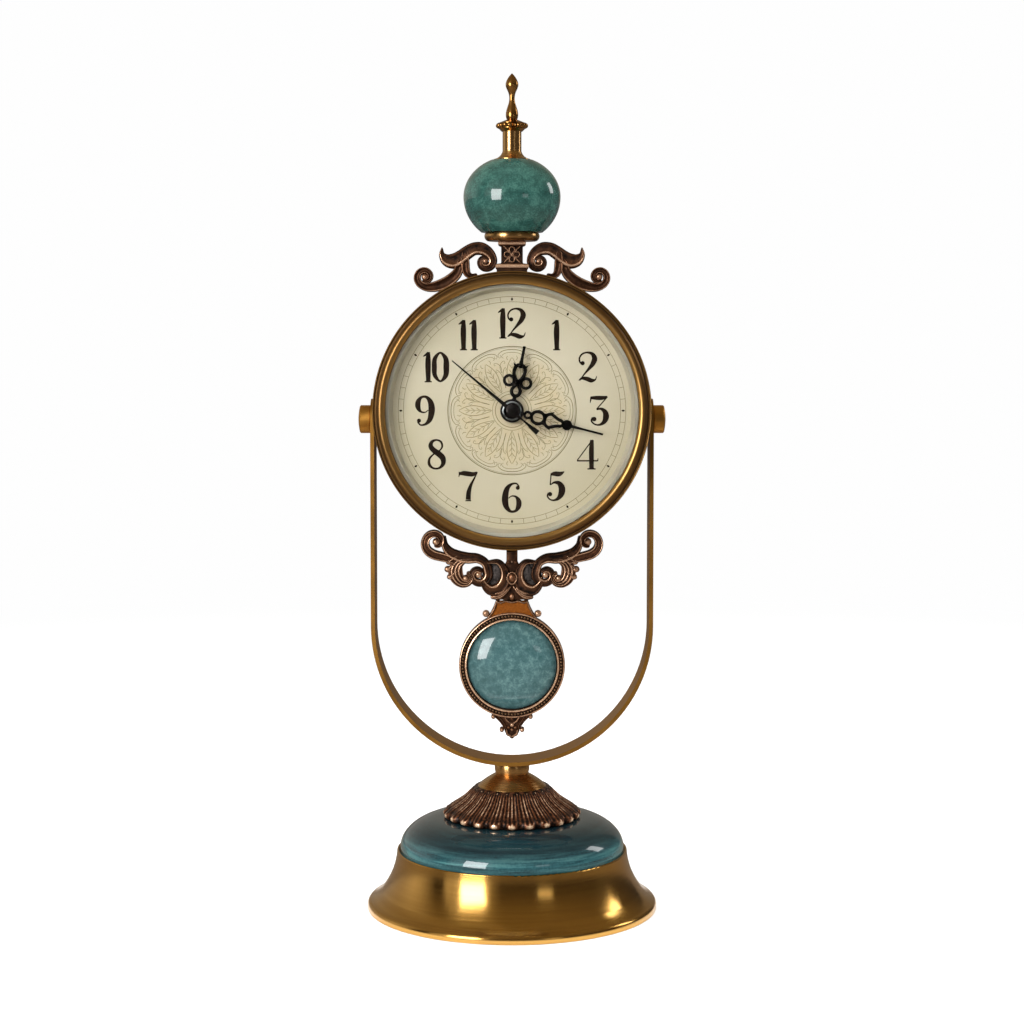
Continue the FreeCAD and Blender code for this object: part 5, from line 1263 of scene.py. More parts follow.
@dataclass
class Hands:
    """Pierced hour, minute and second hands of blackened steel, each on its own body.

    Each hand is drawn pointing up, as loops and tapering strips, and then aimed at its time.
    """

    hour_angle: float = 11.0
    minute_angle: float = 104.5
    second_angle: float = 310.0
    hour_front: float = -25.05
    minute_front: float = -26.25
    second_front: float = -27.45
    thickness: float = 0.5
    crown: float = 0.14

    def build(self) -> None:
        """Make the three hands and the bright ring round the hour hand's hub."""
        self.hand("hour", self.hour(), self.hour_angle, Body.HOUR)
        ring = [(4.65, 0.0), (4.85, -0.32), (5.1, -0.4), (5.35, -0.3), (5.5, 0.0)]
        ring = [(radius, self.hour_front + step) for radius, step in ring]
        piece("hour_hand_collet_ring", [lathe(ring, 64, Axis.DEPTH, DIAL_AXIS, closed=True)], STEEL,
              Body.HOUR)
        self.hand("minute", self.minute(), self.minute_angle, Body.MINUTE)
        self.hand("second", self.second(), self.second_angle, Body.SECOND, "second_hand_and_cap")

    @staticmethod
    def hand(kind: str, shells: Sequence[Shell], angle: float, body: Body, name: str = "") -> None:
        """Make a hand aimed at its time; without a name it's the pierced hand of its kind."""
        piece(name or f"{kind}_hand_pierced", [shell.aimed(angle, HEAD_Z) for shell in shells],
              BLACK_HANDS, body, (f"{kind}_hand",))

    def strip(self, front: float, line: Sequence, closed: bool = False, samples: int = 40) -> Shell:
        """Stamped strip along a line of place across, distance from the centre and half width."""
        spots = [(x, HEAD_Z + reach, half) for x, reach, half in line]
        return ribbon(spots, STAMPED, front + self.crown, front + self.thickness, self.crown,
                      samples, closed, FLAT_ENDS)

    def loop(self, front: float, side: Sequence, half: float) -> Shell:
        """Closed loop that is the same on both sides; side is its right half from foot to top."""
        line = [*side, *((-x, reach) for x, reach in side[-2:0:-1])]
        return self.strip(front, [(*spot, half) for spot in line], closed=True, samples=72)

    def hub(self, front: float, outer: float, inner: float) -> Shell:
        """Ring of the hand round its arbor, with rounded edges."""
        rows = [(inner, self.thickness), (inner, 0.0), (outer - 0.35, 0.0), (outer - 0.08, 0.09),
                (outer, 0.3), (outer, self.thickness)]
        return lathe(rows, 64, Axis.DEPTH, (0.0, front, HEAD_Z), closed=True)

    def hour(self) -> list[Shell]:
        """Teardrop, two round lobes, a heart-pierced kite and a flat-ended rod."""
        front = self.hour_front
        lobe = hoop(-4.9, HEAD_Z + 17.0, 2.8, 0.86, front, front + self.thickness, 40)
        barb = self.strip(front, [(-2.4, 25.6, 0.8), (-3.6, 26.5, 0.55), (-4.3, 27.6, 0.12)],
                          samples=10)
        return [self.hub(front, 6.8, 5.2), self.hub(front + 0.2, 5.4, 3.2),
                self.strip(front, [(0, 6.2, 1.5), (0, 7.6, 1.0), (0, 8.8, 1.3)]),
                self.loop(front, [(0, 8.6), (1.7, 9.5), (2.5, 11.4), (1.7, 13.7), (0, 15.3)], 1.0),
                self.loop(front, [(0, 17.2), (2.1, 19.3), (3.05, 22.4), (2.7, 25.2), (1.1, 26.6),
                                  (0, 25.9)], 1.05),
                self.strip(front, [(0, 25.6, 1.2), (0, 27.6, 1.15), (0, 30.0, 0.95),
                                   (0, 37.8, 0.8)]),
                self.strip(front, [(0, 14.8, 1.1), (0, 16.4, 1.5), (0, 18.0, 1.2)]),
                *twinned([lobe, barb])]

    def minute(self) -> list[Shell]:
        """Small eye, round bulb, cusped bulb, solid disc and a needle."""
        front = self.minute_front
        barbs = [self.strip(front, line, samples=10)
                 for line in ([(-3.7, 22.4, 0.9), (-4.6, 22.9, 0.55), (-5.4, 23.8, 0.12)],
                              [(-2.0, 17.8, 0.6), (-2.9, 18.9, 0.5), (-3.3, 20.1, 0.15)])]
        return [self.hub(front, 4.6, 2.4),
                self.strip(front, [(0, 5.2, 1.3), (0, 6.6, 0.9), (0, 7.8, 0.9)]),
                self.loop(front, [(0, 7.5), (1.5, 8.4), (1.5, 10.3), (0, 11.4)], 0.75),
                self.loop(front, [(0, 11.6), (2.4, 12.6), (3.55, 15.4), (2.5, 18.1), (0, 19.2)],
                          0.92),
                self.loop(front, [(0, 19.4), (2.3, 19.9), (3.9, 22.4), (3.0, 24.6), (1.9, 27.2),
                                  (1.35, 29.4), (0, 30.4)], 0.92),
                disc(0.0, HEAD_Z + 32.6, 3.0, front, front + self.thickness, 40),
                self.strip(front, [(0, 34.9, 1.0), (0, 37.0, 0.85), (0, 54.0, 0.58)]),
                *twinned(barbs)]

    def second(self) -> list[Shell]:
        """Needle, spade-shaped tail and the domed cap over the centre."""
        front = self.second_front
        cap = [(0.0, self.thickness), (4.1, self.thickness), (4.2, 0.2), (3.9, -0.15), (3.0, -0.52),
               (1.6, -0.74), (0.0, -0.80)]
        cap = [(radius, front + step) for radius, step in cap]
        return [self.strip(front, [(0, 4.2, 1.1), (0, 20.0, 0.72), (0, 44.9, 0.34)]),
                self.strip(front, [(0, -4.2, 0.9), (0, -8.0, 0.55), (0, -14.0, 0.9),
                                   (0, -19.4, 1.5)]),
                lathe(cap, 64, Axis.DEPTH, DIAL_AXIS)]


@dataclass
class Bezel:
    """Convex brass ring with a dark groove and a fine bead, and the silver ring inside it.

    Both are turned about the dial's axis: radius, depth and wear along the profile; on the brass
    ring the wear also paints a highlight on its inner edge and shade on its outer flank.
    """

    bore: float = 72.4
    front: float = -34.0
    glass_gap: float = 7.15

    def build(self) -> None:
        """Make both rings."""
        # Wear along the swell: rubbing, and also a painted highlight at the inner edge that fades
        # to painted shade on the outer flank.
        swell = [(0.0, 2.40, 0.10), (0.12, 1.75, 0.55), (0.55, 1.00, 0.98), (1.20, 0.42, 0.90),
                 (2.00, 0.08, 0.76), (2.65, 0.00, 0.66), (3.40, 0.14, 0.60), (4.10, 0.55, 0.55),
                 (4.70, 1.20, 0.50), (5.15, 1.95, 0.38), (5.30, 2.50, 0.08), (5.45, 3.30, 0.15),
                 (6.00, 3.40, 0.42), (6.50, 3.40, 0.40), (6.70, 3.30, 0.05), (6.78, 3.10, 0.45),
                 (7.15, 2.92, 0.85), (7.50, 3.10, 0.70), (7.60, 3.45, 0.45), (7.60, 14.0, 0.35),
                 (4.2, 14.0, 0.1), (4.2, 10.0, 0.1), (1.9, 10.0, 0.1), (1.9, 4.05, 0.1),
                 (0.0, 4.05, 0.1)]
        rows = [(self.bore + step, self.front + drop, wear) for step, drop, wear in swell]
        piece("bezel_ring_antiqued", [lathe(rows, 288, Axis.DEPTH, DIAL_AXIS, closed=True)],
              BEZEL_BRASS, Body.HEAD, ("bezel",), sharp=50.0)
        gap = self.glass_gap
        steps = [(74.1, gap), (70.75, gap), (70.5, gap - 0.2), (68.8, 0.25), (68.75, 0.02),
                 (74.1, 0.02)]
        rows = [(radius, DIAL_FACE - step) for radius, step in steps]
        piece("inner_ring_silvered", [lathe(rows, 256, Axis.DEPTH, DIAL_AXIS, closed=True)],
              SILVER, Body.HEAD, ("inner_ring",), sharp=25.0)


@dataclass(frozen=True)
class Field:
    """Field that a casting is drawn in: half its width, its height and its top, for its shares."""

    width: float
    height: float
    top: float

    def spot(self, x: float, z: float) -> tuple[float, float]:
        """Place on the left half for shares of width and of height from the top."""
        return -self.width * x, self.top - self.height * z

    def line(self, shares: Sequence) -> list[Station]:
        """Stations for rows of both shares and of a half width as a share of the height."""
        return [(*self.spot(x, z), self.height * half) for x, z, half in shares]

    def curl(self, eye: tuple[float, float], radii: tuple[float, float],
             halves: tuple[float, float], turns: tuple[float, float]) -> list[Station]:
        """Stations of a spiral: radius, angle and half width change evenly from start to end.

        Args:
            eye: Shares of its middle.
            radii: First and last radius, as shares of the height.
            halves: First and last half width, as shares of the height.
            turns: First and last angle in degrees.

        Returns:
            Its stations.
        """
        radius, half, angle = (np.linspace(*pair, 16) for pair in (radii, halves, turns))
        radius, angle = self.height * radius, np.radians(angle)
        x, z = self.spot(*eye)
        return list(zip(x + radius * np.cos(angle), z + radius * np.sin(angle),
                        self.height * half))


@dataclass
class Ornament:
    """Scroll casting at the top of the pendulum, drawn on its left half and mirrored.

    Arms are ribbons with fluted, leaning or veined sections; shells are dark dishes with a bright
    crescent; the middle carries an oval boss in a rim.
    """

    field: Field = Field(53.0, 41.0, 222.8)
    front: float = -0.5
    back: float = 4.1
    relief: float = 1.75
    full_half: float = 1.6
    boss: float = 0.668

    def build(self) -> None:
        """Make the casting."""
        recess, crescent = self.shell()
        parts = twinned(self.arms() + self.leaf() + [crescent]) + self.middle()
        piece("pendulum_scroll_casting", parts, CASTING, Body.PENDULUM,
              ("pendulum_scroll",), sharp=60.0)
        piece("pendulum_scroll_recesses", twinned(recess), RECESS, Body.PENDULUM)

    def arm(self, line: Sequence, section: Section, samples: int, lift: float = 0.0,
            relief: float = 0.0) -> Shell:
        """Ribbon between the casting's depths; lift moves its face towards the reader."""
        return ribbon(line, section, self.front - lift, self.back, relief or self.relief, samples,
                      full_half=self.full_half)

    def arms(self) -> list[Shell]:
        """Outer strand and long arm, each with its spiral and its eye."""
        field = self.field
        outer = field.line([(0.640, 0.415, 0.050), (0.764, 0.372, 0.064)])
        outer += field.curl((0.848, 0.150), (0.178, 0.052), (0.068, 0.036), (249, -75))
        long_arm = field.line([(0.751, 0.088, 0.024), (0.745, 0.202, 0.049), (0.690, 0.300, 0.068),
                               (0.604, 0.356, 0.078), (0.502, 0.385, 0.078), (0.375, 0.395, 0.065),
                               (0.302, 0.451, 0.060)])
        long_arm += field.curl((0.372, 0.622), (0.150, 0.064), (0.066, 0.036), (27, -300))
        eyes = [self.eye(field.spot(*shares), 2.05, 0.85)
                for shares in ((0.845, 0.149), (0.372, 0.622))]
        return [self.arm(outer, FLUTED, 120), self.arm(long_arm, LEANING, 150, 0.15), *eyes]

    def eye(self, spot: tuple[float, float], radius: float, wear: float) -> Shell:
        """Round boss in the eye of a curl."""
        return button(spot[0], self.front, spot[1], radius, 1.9, wear, foot=4.0)

    def leaf(self) -> list[Shell]:
        """Veined leaf that curls round its eye, with three lobes on its outer edge."""
        field = self.field
        line = field.line([(0.430, 0.415, 0.016), (0.530, 0.418, 0.046), (0.604, 0.476, 0.086),
                           (0.630, 0.575, 0.104), (0.606, 0.675, 0.096), (0.550, 0.738, 0.074),
                           (0.486, 0.733, 0.054), (0.456, 0.668, 0.042), (0.482, 0.612, 0.034)])
        parts = [self.arm(line, VEINED, 90), self.eye(field.spot(0.517, 0.673), 1.75, 0.8)]
        for x, z, size in ((0.700, 0.440, 1.9), (0.712, 0.545, 2.1), (0.690, 0.655, 1.8)):
            spot, root = field.spot(x, z), field.spot(x - 0.085, z - 0.085)
            parts.append(oval(spot[0], self.front, spot[1], size, size * 0.85, 1.3, 0.75, foot=4.2))
            stem = [(*root, 0.45), (root[0] - 1.9, root[1] - 1.2, 0.75), (*spot, 0.5)]
            parts.append(self.arm(stem, ROUNDED, 14, 0.45))
        return parts

    def shell(self) -> tuple[list[Shell], Shell]:
        """Dark dish, and a crescent along its inner and lower edge, as on a scallop."""
        field = self.field
        middle, hollow = field.spot(0.195, 0.655), field.spot(0.170, 0.600)
        dish = oval(middle[0], 0.9, middle[1], 7.4, 9.2, 0.35, 0.22, foot=3.0)
        stone = oval(hollow[0], 0.4, hollow[1], 3.2, 5.0, 0.75, 0.30, foot=3.0)
        crescent = field.line([(0.265, 0.440, 0.018), (0.150, 0.445, 0.038), (0.085, 0.560, 0.058),
                               (0.080, 0.700, 0.078), (0.140, 0.820, 0.088), (0.235, 0.845, 0.078),
                               (0.310, 0.760, 0.048), (0.335, 0.660, 0.020)])
        return [dish, stone], self.arm(crescent, LEANING, 70, 0.25)

    def middle(self) -> list[Shell]:
        """Back plate, oval boss in its rim, two leaf lines, a bell and a studded block."""
        field = self.field
        plate = field.line([(0.0, 0.300, 0.076), (0.0, 0.430, 0.080), (0.0, 0.560, 0.150),
                            (0.0, 0.780, 0.235), (0.0, 0.900, 0.235), (0.0, 0.985, 0.200)])
        boss_z, bell_z, block_z, knot_z, stud_z = (
            field.spot(0.0, share)[1] for share in (self.boss, 0.945, 0.975, 0.445, 0.435))
        rim = [(2.75 * math.cos(turn), boss_z + 3.5 * math.sin(turn), 0.66)
               for turn in np.linspace(0, 2 * math.pi, 12, endpoint=False)]
        lines = [[(0.020, 0.800, 0.014), (0.075, 0.880, 0.034), (0.150, 0.940, 0.048),
                  (0.215, 0.945, 0.030)],
                 [(0.055, 0.815, 0.014), (0.120, 0.880, 0.030), (0.180, 0.900, 0.020)]]
        sides = [self.arm(field.line(line), ROUNDED, 26, 0.1, 1.5) for line in lines]
        sides += [button(-8.3, 0.2, block_z, 1.35, 1.0, 0.6, foot=3.2),
                  button(-2.2, 0.4, knot_z, 1.2, 0.8, 0.3, foot=3.2)]
        return [ribbon(plate, LOW, 1.0, self.back, 0.6, 30, ends=FLAT_ENDS),
                ribbon(rim, ROUNDED, self.front - 0.2, self.back, 1.6, 60, closed=True),
                oval(0.0, self.front, boss_z, 2.3, 3.0, 1.5, 0.55, foot=4.0),
                oval(0.0, 0.2, bell_z, 1.6, 2.3, 1.0, 0.6, foot=3.0),
                button(0.0, 0.4, stud_z, 0.55, 0.9, 0.9, foot=3.0), *twinned(sides)]


@dataclass
class Medallion:
    """Ring with a beaded channel, a sandblasted neck and a drop, and the glazed disc inside it."""

    centre_z: float = 143.7
    bead_circle: float = 29.15
    bead_radius: float = 0.80
    bead_count: int = 96
    swell: float = 0.72
    power: float = 3.4
    back: float = 4.1

    def build(self) -> None:
        """Make ring, neck, drop, beads and disc."""
        profile = [(26.6, 4.1, 0.1), (26.6, -1.9, 0.2), (26.75, -2.5, 0.7), (27.1, -2.9, 1.0),
                   (27.6, -2.8, 0.9), (28.05, -2.3, 0.35), (28.2, -1.75, 0.0), (30.1, -1.75, 0.0),
                   (30.25, -2.3, 0.4), (30.55, -2.6, 0.9), (30.95, -2.5, 0.85), (31.2, -2.1, 0.6),
                   (31.3, -1.4, 0.35), (31.3, 4.1, 0.2)]
        ring = lathe(profile, 192, Axis.DEPTH, (0.0, 0.0, self.centre_z), closed=True)
        piece("medallion_ring_and_drop", [ring] + self.neck_rim() + self.drop(), CASTING,
              Body.PENDULUM, ("medallion_frame",), sharp=55.0)
        piece("medallion_neck_field", [self.neck_field()], NECK_COPPER, Body.PENDULUM)
        piece("medallion_beads", self.beads(), BEAD_METAL, Body.PENDULUM,
              ("bead_ring",), sharp=80.0)
        piece("cabochon_glazed", [self.cabochon()], CABOCHON_GLAZE, Body.PENDULUM,
              ("cabochon",), sharp=50.0)

    def cabochon(self) -> Shell:
        """Glazed disc: at share t of its radius the face lies swell * t**power further back."""
        low, high = node_box("cabochon")
        radius, front, back = float(high[0] - low[0]) / 2, float(low[1]), float(high[1])
        swell = self.swell * (back - front)
        share = np.sin(np.linspace(0, math.pi / 2, 40))
        rows = [(radius * t, front + swell * t ** self.power) for t in share]
        rows += [(radius, back - 0.3), (radius - 0.3, back), (0.0, back)]
        return lathe(rows, 128, Axis.DEPTH, (0.0, 0.0, float(low[2] + high[2]) / 2))

    def beads(self) -> list[Shell]:
        """Row of small round beads in the channel."""
        shares = [(0.0, -1.0), (0.62, -0.78), (1.0, -0.1), (0.9, 0.35), (0.0, 0.45)]
        rows = [(self.bead_radius * out, self.bead_radius * deep) for out, deep in shares]
        bead = lathe(rows, 8, Axis.DEPTH, (0.0, -1.95, self.centre_z + self.bead_circle))
        return bead.ringed(self.bead_count, self.centre_z)

    def line(self, rows: Sequence) -> list[Station]:
        """Stations for rows of x, height above the centre and half width."""
        return [(x, self.centre_z + rise, half) for x, rise, half in rows]

    def neck_field(self) -> Shell:
        """Flared plate between ring and scroll casting, slightly sunk inside its rim."""
        line = self.line([(0.0, 28.0, 13.2), (0.0, 31.0, 11.4), (0.0, 34.4, 9.6), (0.0, 37.9, 8.6)])
        return ribbon(line, SHEET, -0.7, self.back, 0.0, 20, ends=FLAT_ENDS)

    def neck_rim(self) -> list[Shell]:
        """Raised rim along the sides and the waved top of the neck, with a ball on either side."""
        side = self.line([(-14.3, 27.6, 0.5), (-12.2, 30.6, 0.62), (-10.3, 34.2, 0.62),
                          (-9.1, 37.6, 0.55)])
        top = self.line([(-9.1, 37.6, 0.55), (-6.6, 37.0, 0.6), (-4.2, 37.9, 0.55),
                         (0.0, 37.3, 0.6), (4.2, 37.9, 0.55), (6.6, 37.0, 0.6),
                         (9.1, 37.6, 0.55)])
        angle = np.linspace(-math.pi / 2, math.pi / 2, 13)
        ball_rows = [(2.15 * math.cos(a), 2.15 * math.sin(a), 0.75) for a in angle]
        ball = lathe(ball_rows, 24, Axis.DEPTH, (-15.3, 0.6, self.centre_z + 30.5))
        stem = self.line([(-14.6, 29.4, 0.8), (-13.2, 28.6, 1.0)])
        return [*twinned([ribbon(side, ROUNDED, -0.9, self.back, 1.0, 26), ball,
                          ribbon(stem, ROUNDED, 0.0, 2.4, 0.6, 4)]),
                ribbon(top, ROUNDED, -0.9, self.back, 1.0, 40)]

    def drop(self) -> list[Shell]:
        """Small pendant under the ring: a dark plate, two leaves, curls and a boss."""
        z = self.centre_z
        leaf = self.line([(-9.8, -30.4, 0.8), (-7.6, -32.2, 1.0), (-5.8, -34.4, 0.95),
                          (-4.6, -36.8, 0.85), (-5.5, -38.6, 0.6)])
        upper = self.line([(-4.2, -31.2, 0.5), (-2.9, -33.2, 0.75), (-1.2, -34.4, 0.5)])
        lower = self.line([(-3.2, -39.2, 0.8), (-2.6, -41.2, 0.9), (-0.7, -42.3, 0.7)])
        plate = self.line([(0.0, -29.6, 8.6), (0.0, -31.4, 7.2), (0.0, -34.0, 5.2),
                           (0.0, -37.0, 4.4), (0.0, -40.0, 4.2), (0.0, -41.6, 3.0),
                           (0.0, -42.6, 1.4)])
        side = [ribbon(leaf, HOLLOWED, -0.4, self.back, 1.3, 40),
                ribbon(upper, ROUNDED, -0.2, self.back, 1.2, 16),
                ribbon(lower, ROUNDED, -0.2, self.back, 1.2, 18),
                button(-11.0, -0.2, z - 30.9, 1.35, 1.4, 0.75, foot=4.0),
                button(-6.0, -0.3, z - 38.7, 1.35, 1.4, 0.8, foot=4.2),
                button(-2.0, -0.3, z - 37.2, 1.0, 1.2, 0.6, foot=4.0)]
        middle = [ribbon(plate, LOW, 0.6, self.back, 0.5, 36, ends=(End.FLAT, End.ROUND)),
                  button(0.0, -0.5, z - 35.6, 1.35, 1.7, 1.0, foot=4.0),
                  button(0.0, -0.2, z - 38.6, 0.95, 1.2, 0.7, foot=4.0),
                  button(0.0, -0.2, z - 32.2, 0.9, 1.0, 0.5, foot=4.0)]
        return twinned(side) + middle


@dataclass
class Crest:
    """Moulded pedestal with a carved panel between two scroll castings on the drum."""

    field: Field = Field(57.0, 29.5, 392.9)
    face: float = -2.7
    relief: float = 1.6
    full_half: float = 1.5
    panel_half: float = 5.0
    panel_z: float = 384.9
    panel_face: float = -6.35
    panel_relief: float = 0.75

    def build(self) -> None:
        """Make pedestal and scrolls."""
        left = twinned(self.scroll(), Mirror.BEHIND)
        right = [shell.mirrored() for shell in left]
        for name, shells, node, sharp in (
                ("crest_scroll_left", left, "left_crest_scroll", 60.0),
                ("crest_scroll_right", right, "right_crest_scroll", 60.0),
                ("crest_pedestal_carved", self.pedestal(), "crest_pedestal", 40.0)):
            piece(name, shells, CASTING, Body.HEAD, (node,), sharp)

    def scroll(self) -> list[Shell]:
        """Front half of the left scroll: upper arm with its leaf tip, lower arm and foot."""
        field = self.field
        upper = field.line([(0.716, 0.140, 0.014), (0.716, 0.265, 0.062), (0.672, 0.365, 0.122),
                            (0.596, 0.393, 0.150), (0.526, 0.325, 0.142), (0.454, 0.222, 0.132),
                            (0.391, 0.155, 0.126), (0.319, 0.148, 0.126), (0.240, 0.225, 0.105)])
        upper += field.curl((0.274, 0.405), (0.160, 0.066), (0.090, 0.046), (31, -290))
        lower = field.line([(0.530, 0.440, 0.070), (0.561, 0.625, 0.100), (0.637, 0.768, 0.112),
                            (0.733, 0.866, 0.112), (0.812, 0.905, 0.098), (0.874, 0.912, 0.080)])
        lower += field.curl((0.889, 0.708), (0.170, 0.078), (0.072, 0.044), (-135, -460))
        leg = field.line([(0.480, 0.270, 0.070), (0.478, 0.420, 0.084), (0.474, 0.545, 0.084),
                          (0.453, 0.650, 0.070), (0.414, 0.690, 0.052), (0.372, 0.668, 0.034)])
        arms = [ribbon(line, section, self.face - lift, 0.0, self.relief, samples,
                       full_half=self.full_half)
                for line, section, samples, lift in (
                    (upper, LEANING, 170, 0.1), (lower, HOLLOWED, 130, 0.0),
                    (leg, HOLLOWED, 60, 0.05))]
        for shares, size in (((0.274, 0.400), 1.75), ((0.891, 0.708), 2.0)):
            x, z = field.spot(*shares)
            arms.append(button(x, self.face, z, size, 1.6, 0.75, foot=2.7))
        return arms

    def pedestal(self) -> list[Shell]:
        """Square block turned as a four-sided lathe, with a carved panel on its front and back."""
        rows = [(0.0, 370.9, 0.1), (8.9, 370.9, 0.1), (8.9, 376.6, 0.12), (9.5, 377.0, 0.6),
                (9.75, 377.9, 1.0), (9.4, 378.9, 0.9), (8.5, 379.5, 0.45), (6.5, 379.8, 0.1),
                (6.3, 380.4, 0.05), (6.3, 389.4, 0.05), (6.6, 389.9, 0.1), (7.7, 390.4, 0.6),
                (8.1, 391.1, 1.0), (8.1, 391.9, 0.9), (7.6, 392.6, 0.5), (7.0, 392.9, 0.2),
                (0.0, 392.9, 0.1)]
        block = lathe([(half * math.sqrt(2), z, wear) for half, z, wear in rows], 4)
        face, middle = self.panel_face, self.panel_z
        corner = self.panel_half - 0.5
        petal = [(0.0, 0.6, 0.50), (1.5, 2.1, 0.60), (1.3, 3.7, 0.58), (0.0, 4.4, 0.52),
                 (-1.3, 3.7, 0.58), (-1.5, 2.1, 0.60)]
        bar = [(0.3, 0.3, 0.45), (2.6, 2.6, 0.62), (corner, corner, 0.45)]
        carving = [button(0.0, face, middle, 0.9, 0.7, 1.0, foot=1.0)]
        for line, samples, closed in ((petal, 40, True), (bar, 12, False)):
            raised = [(x, middle + rise, half) for x, rise, half in line]
            carving += ribbon(raised, ROUNDED, face, face + 1.0, self.panel_relief, samples,
                              closed).ringed(4, middle)
        return [block.turned(math.pi / 4), *twinned(carving, Mirror.BEHIND)]


@dataclass
class PetalCollar:
    """Cast collar on the dome: petals whose ribs run up to a row of small gadroons.

    Radius at height share t and angle a = profile(t) - broad(t) ((1 - cos 24 a) / 2) ** 1.6
    - 0.7 fine(t) (1 - cos 96 a) / 2. Ribs are worn bright with a painted highlight on top, and
      petals more so at their sides.
    """

    foot_z: float = 53.5
    height: float = 18.5
    foot_radius: float = 40.8
    petals: int = 24
    columns: int = 768
    gadroon_circle: float = 21.6
    gadroon_share: float = 0.925

    def build(self) -> None:
        """Make the collar."""
        piece("petal_collar_ribbed", [self.flank(), *self.gadroons()], PETALS, Body.BASE,
              ("petal_collar",), sharp=70.0)

    def flank(self) -> Shell:
        """Closed surface of the collar, outside and inside.

        A row holds its radius and height as shares, the depth of petals and of ribs, and the wear.
        """
        rows = np.array([(0.930, 0.000, 1.5, 0.0, 0.2), (0.975, 0.030, 1.9, 0.0, 0.6),
                         (0.997, 0.085, 2.2, 0.0, 1.0), (1.000, 0.150, 2.2, 0.0, 1.0),
                         (0.985, 0.215, 2.0, 0.1, 0.8), (0.945, 0.270, 1.4, 0.3, 0.25),
                         (0.915, 0.330, 1.2, 0.5, 0.5), (0.860, 0.410, 1.2, 0.8, 0.9),
                         (0.795, 0.500, 1.1, 0.9, 0.9), (0.735, 0.590, 1.0, 0.9, 0.9),
                         (0.685, 0.680, 0.9, 0.9, 0.9), (0.640, 0.780, 0.8, 0.8, 0.9),
                         (0.600, 0.870, 0.6, 0.6, 0.7), (0.565, 0.930, 0.3, 0.3, 0.3),
                         (0.545, 0.975, 0.0, 0.0, 0.2), (0.530, 1.000, 0.0, 0.0, 0.4),
                         (0.502, 1.000, 0.0, 0.0, 0.3), (0.502, 0.930, 0.0, 0.0, 0.0),
                         (0.450, 0.860, 0.0, 0.0, 0.0), (0.560, 0.500, 0.0, 0.0, 0.0),
                         (0.820, 0.120, 0.0, 0.0, 0.0), (0.880, 0.000, 0.0, 0.0, 0.0)])
        share, level, petal, rib, worn = (rows[:, index:index + 1] for index in range(5))
        angle = np.linspace(0, 2 * math.pi, self.columns, endpoint=False)
        broad = (1 - np.cos(self.petals * angle)) / 2
        fine = (1 - np.cos(4 * self.petals * angle)) / 2
        radius = share * self.foot_radius - petal * broad ** 1.6 - 0.7 * rib * fine
        height = np.repeat(self.foot_z + level * self.height, self.columns, axis=1)
        points = np.stack([radius * np.cos(angle), radius * np.sin(angle), height], axis=-1)
        ribbed = 0.95 * (1 - fine) ** 2 * (1 - 0.35 * broad)
        ridge = np.where(rib > 0.05, ribbed, np.clip(1 - 1.3 * broad, 0, 1))
        return grid(points, np.clip(worn * ridge, 0, 1), wrap_rows=True)

    def gadroons(self) -> list[Shell]:
        """Row of small round gadroons round the collar's top."""
        angle = np.linspace(-math.pi / 2, math.pi / 2, 7)
        rows = [(1.15 * math.cos(a), math.sin(a), 0.35 + 0.5 * math.cos(a)) for a in angle]
        centre = (self.gadroon_circle, 0.0, self.foot_z + self.gadroon_share * self.height)
        return lathe(rows, 8, Axis.VERTICAL, centre).spread(2 * self.petals)


@dataclass(frozen=True)
class SoftLight:
    """Rectangular light that faces the clock; shiny pieces show it only if it's mirrored."""

    name: str
    place: Place
    size: tuple[float, float]
    power: float
    mirrored: bool = False

    def hang(self, height: float) -> None:
        """Add the light to the scene.

        Args:
            height: Height on the clock's axis that it aims at.
        """
        light = bpy.data.lights.new(self.name, "AREA")
        light.shape = "RECTANGLE"
        light.size, light.size_y = self.size[0] * MM, self.size[1] * MM
        light.energy = self.power
        holder = bpy.data.objects.new(self.name, light)
        holder.visible_glossy = self.mirrored
        holder.location = [part * MM for part in self.place]
        x, y, z = -self.place[0], -self.place[1], height - self.place[2]
        holder.rotation_euler = (math.atan2(z, math.hypot(x, y)) + math.pi / 2, 0.0,
                                 math.atan2(y, x) - math.pi / 2)
        bpy.context.scene.collection.objects.link(holder)


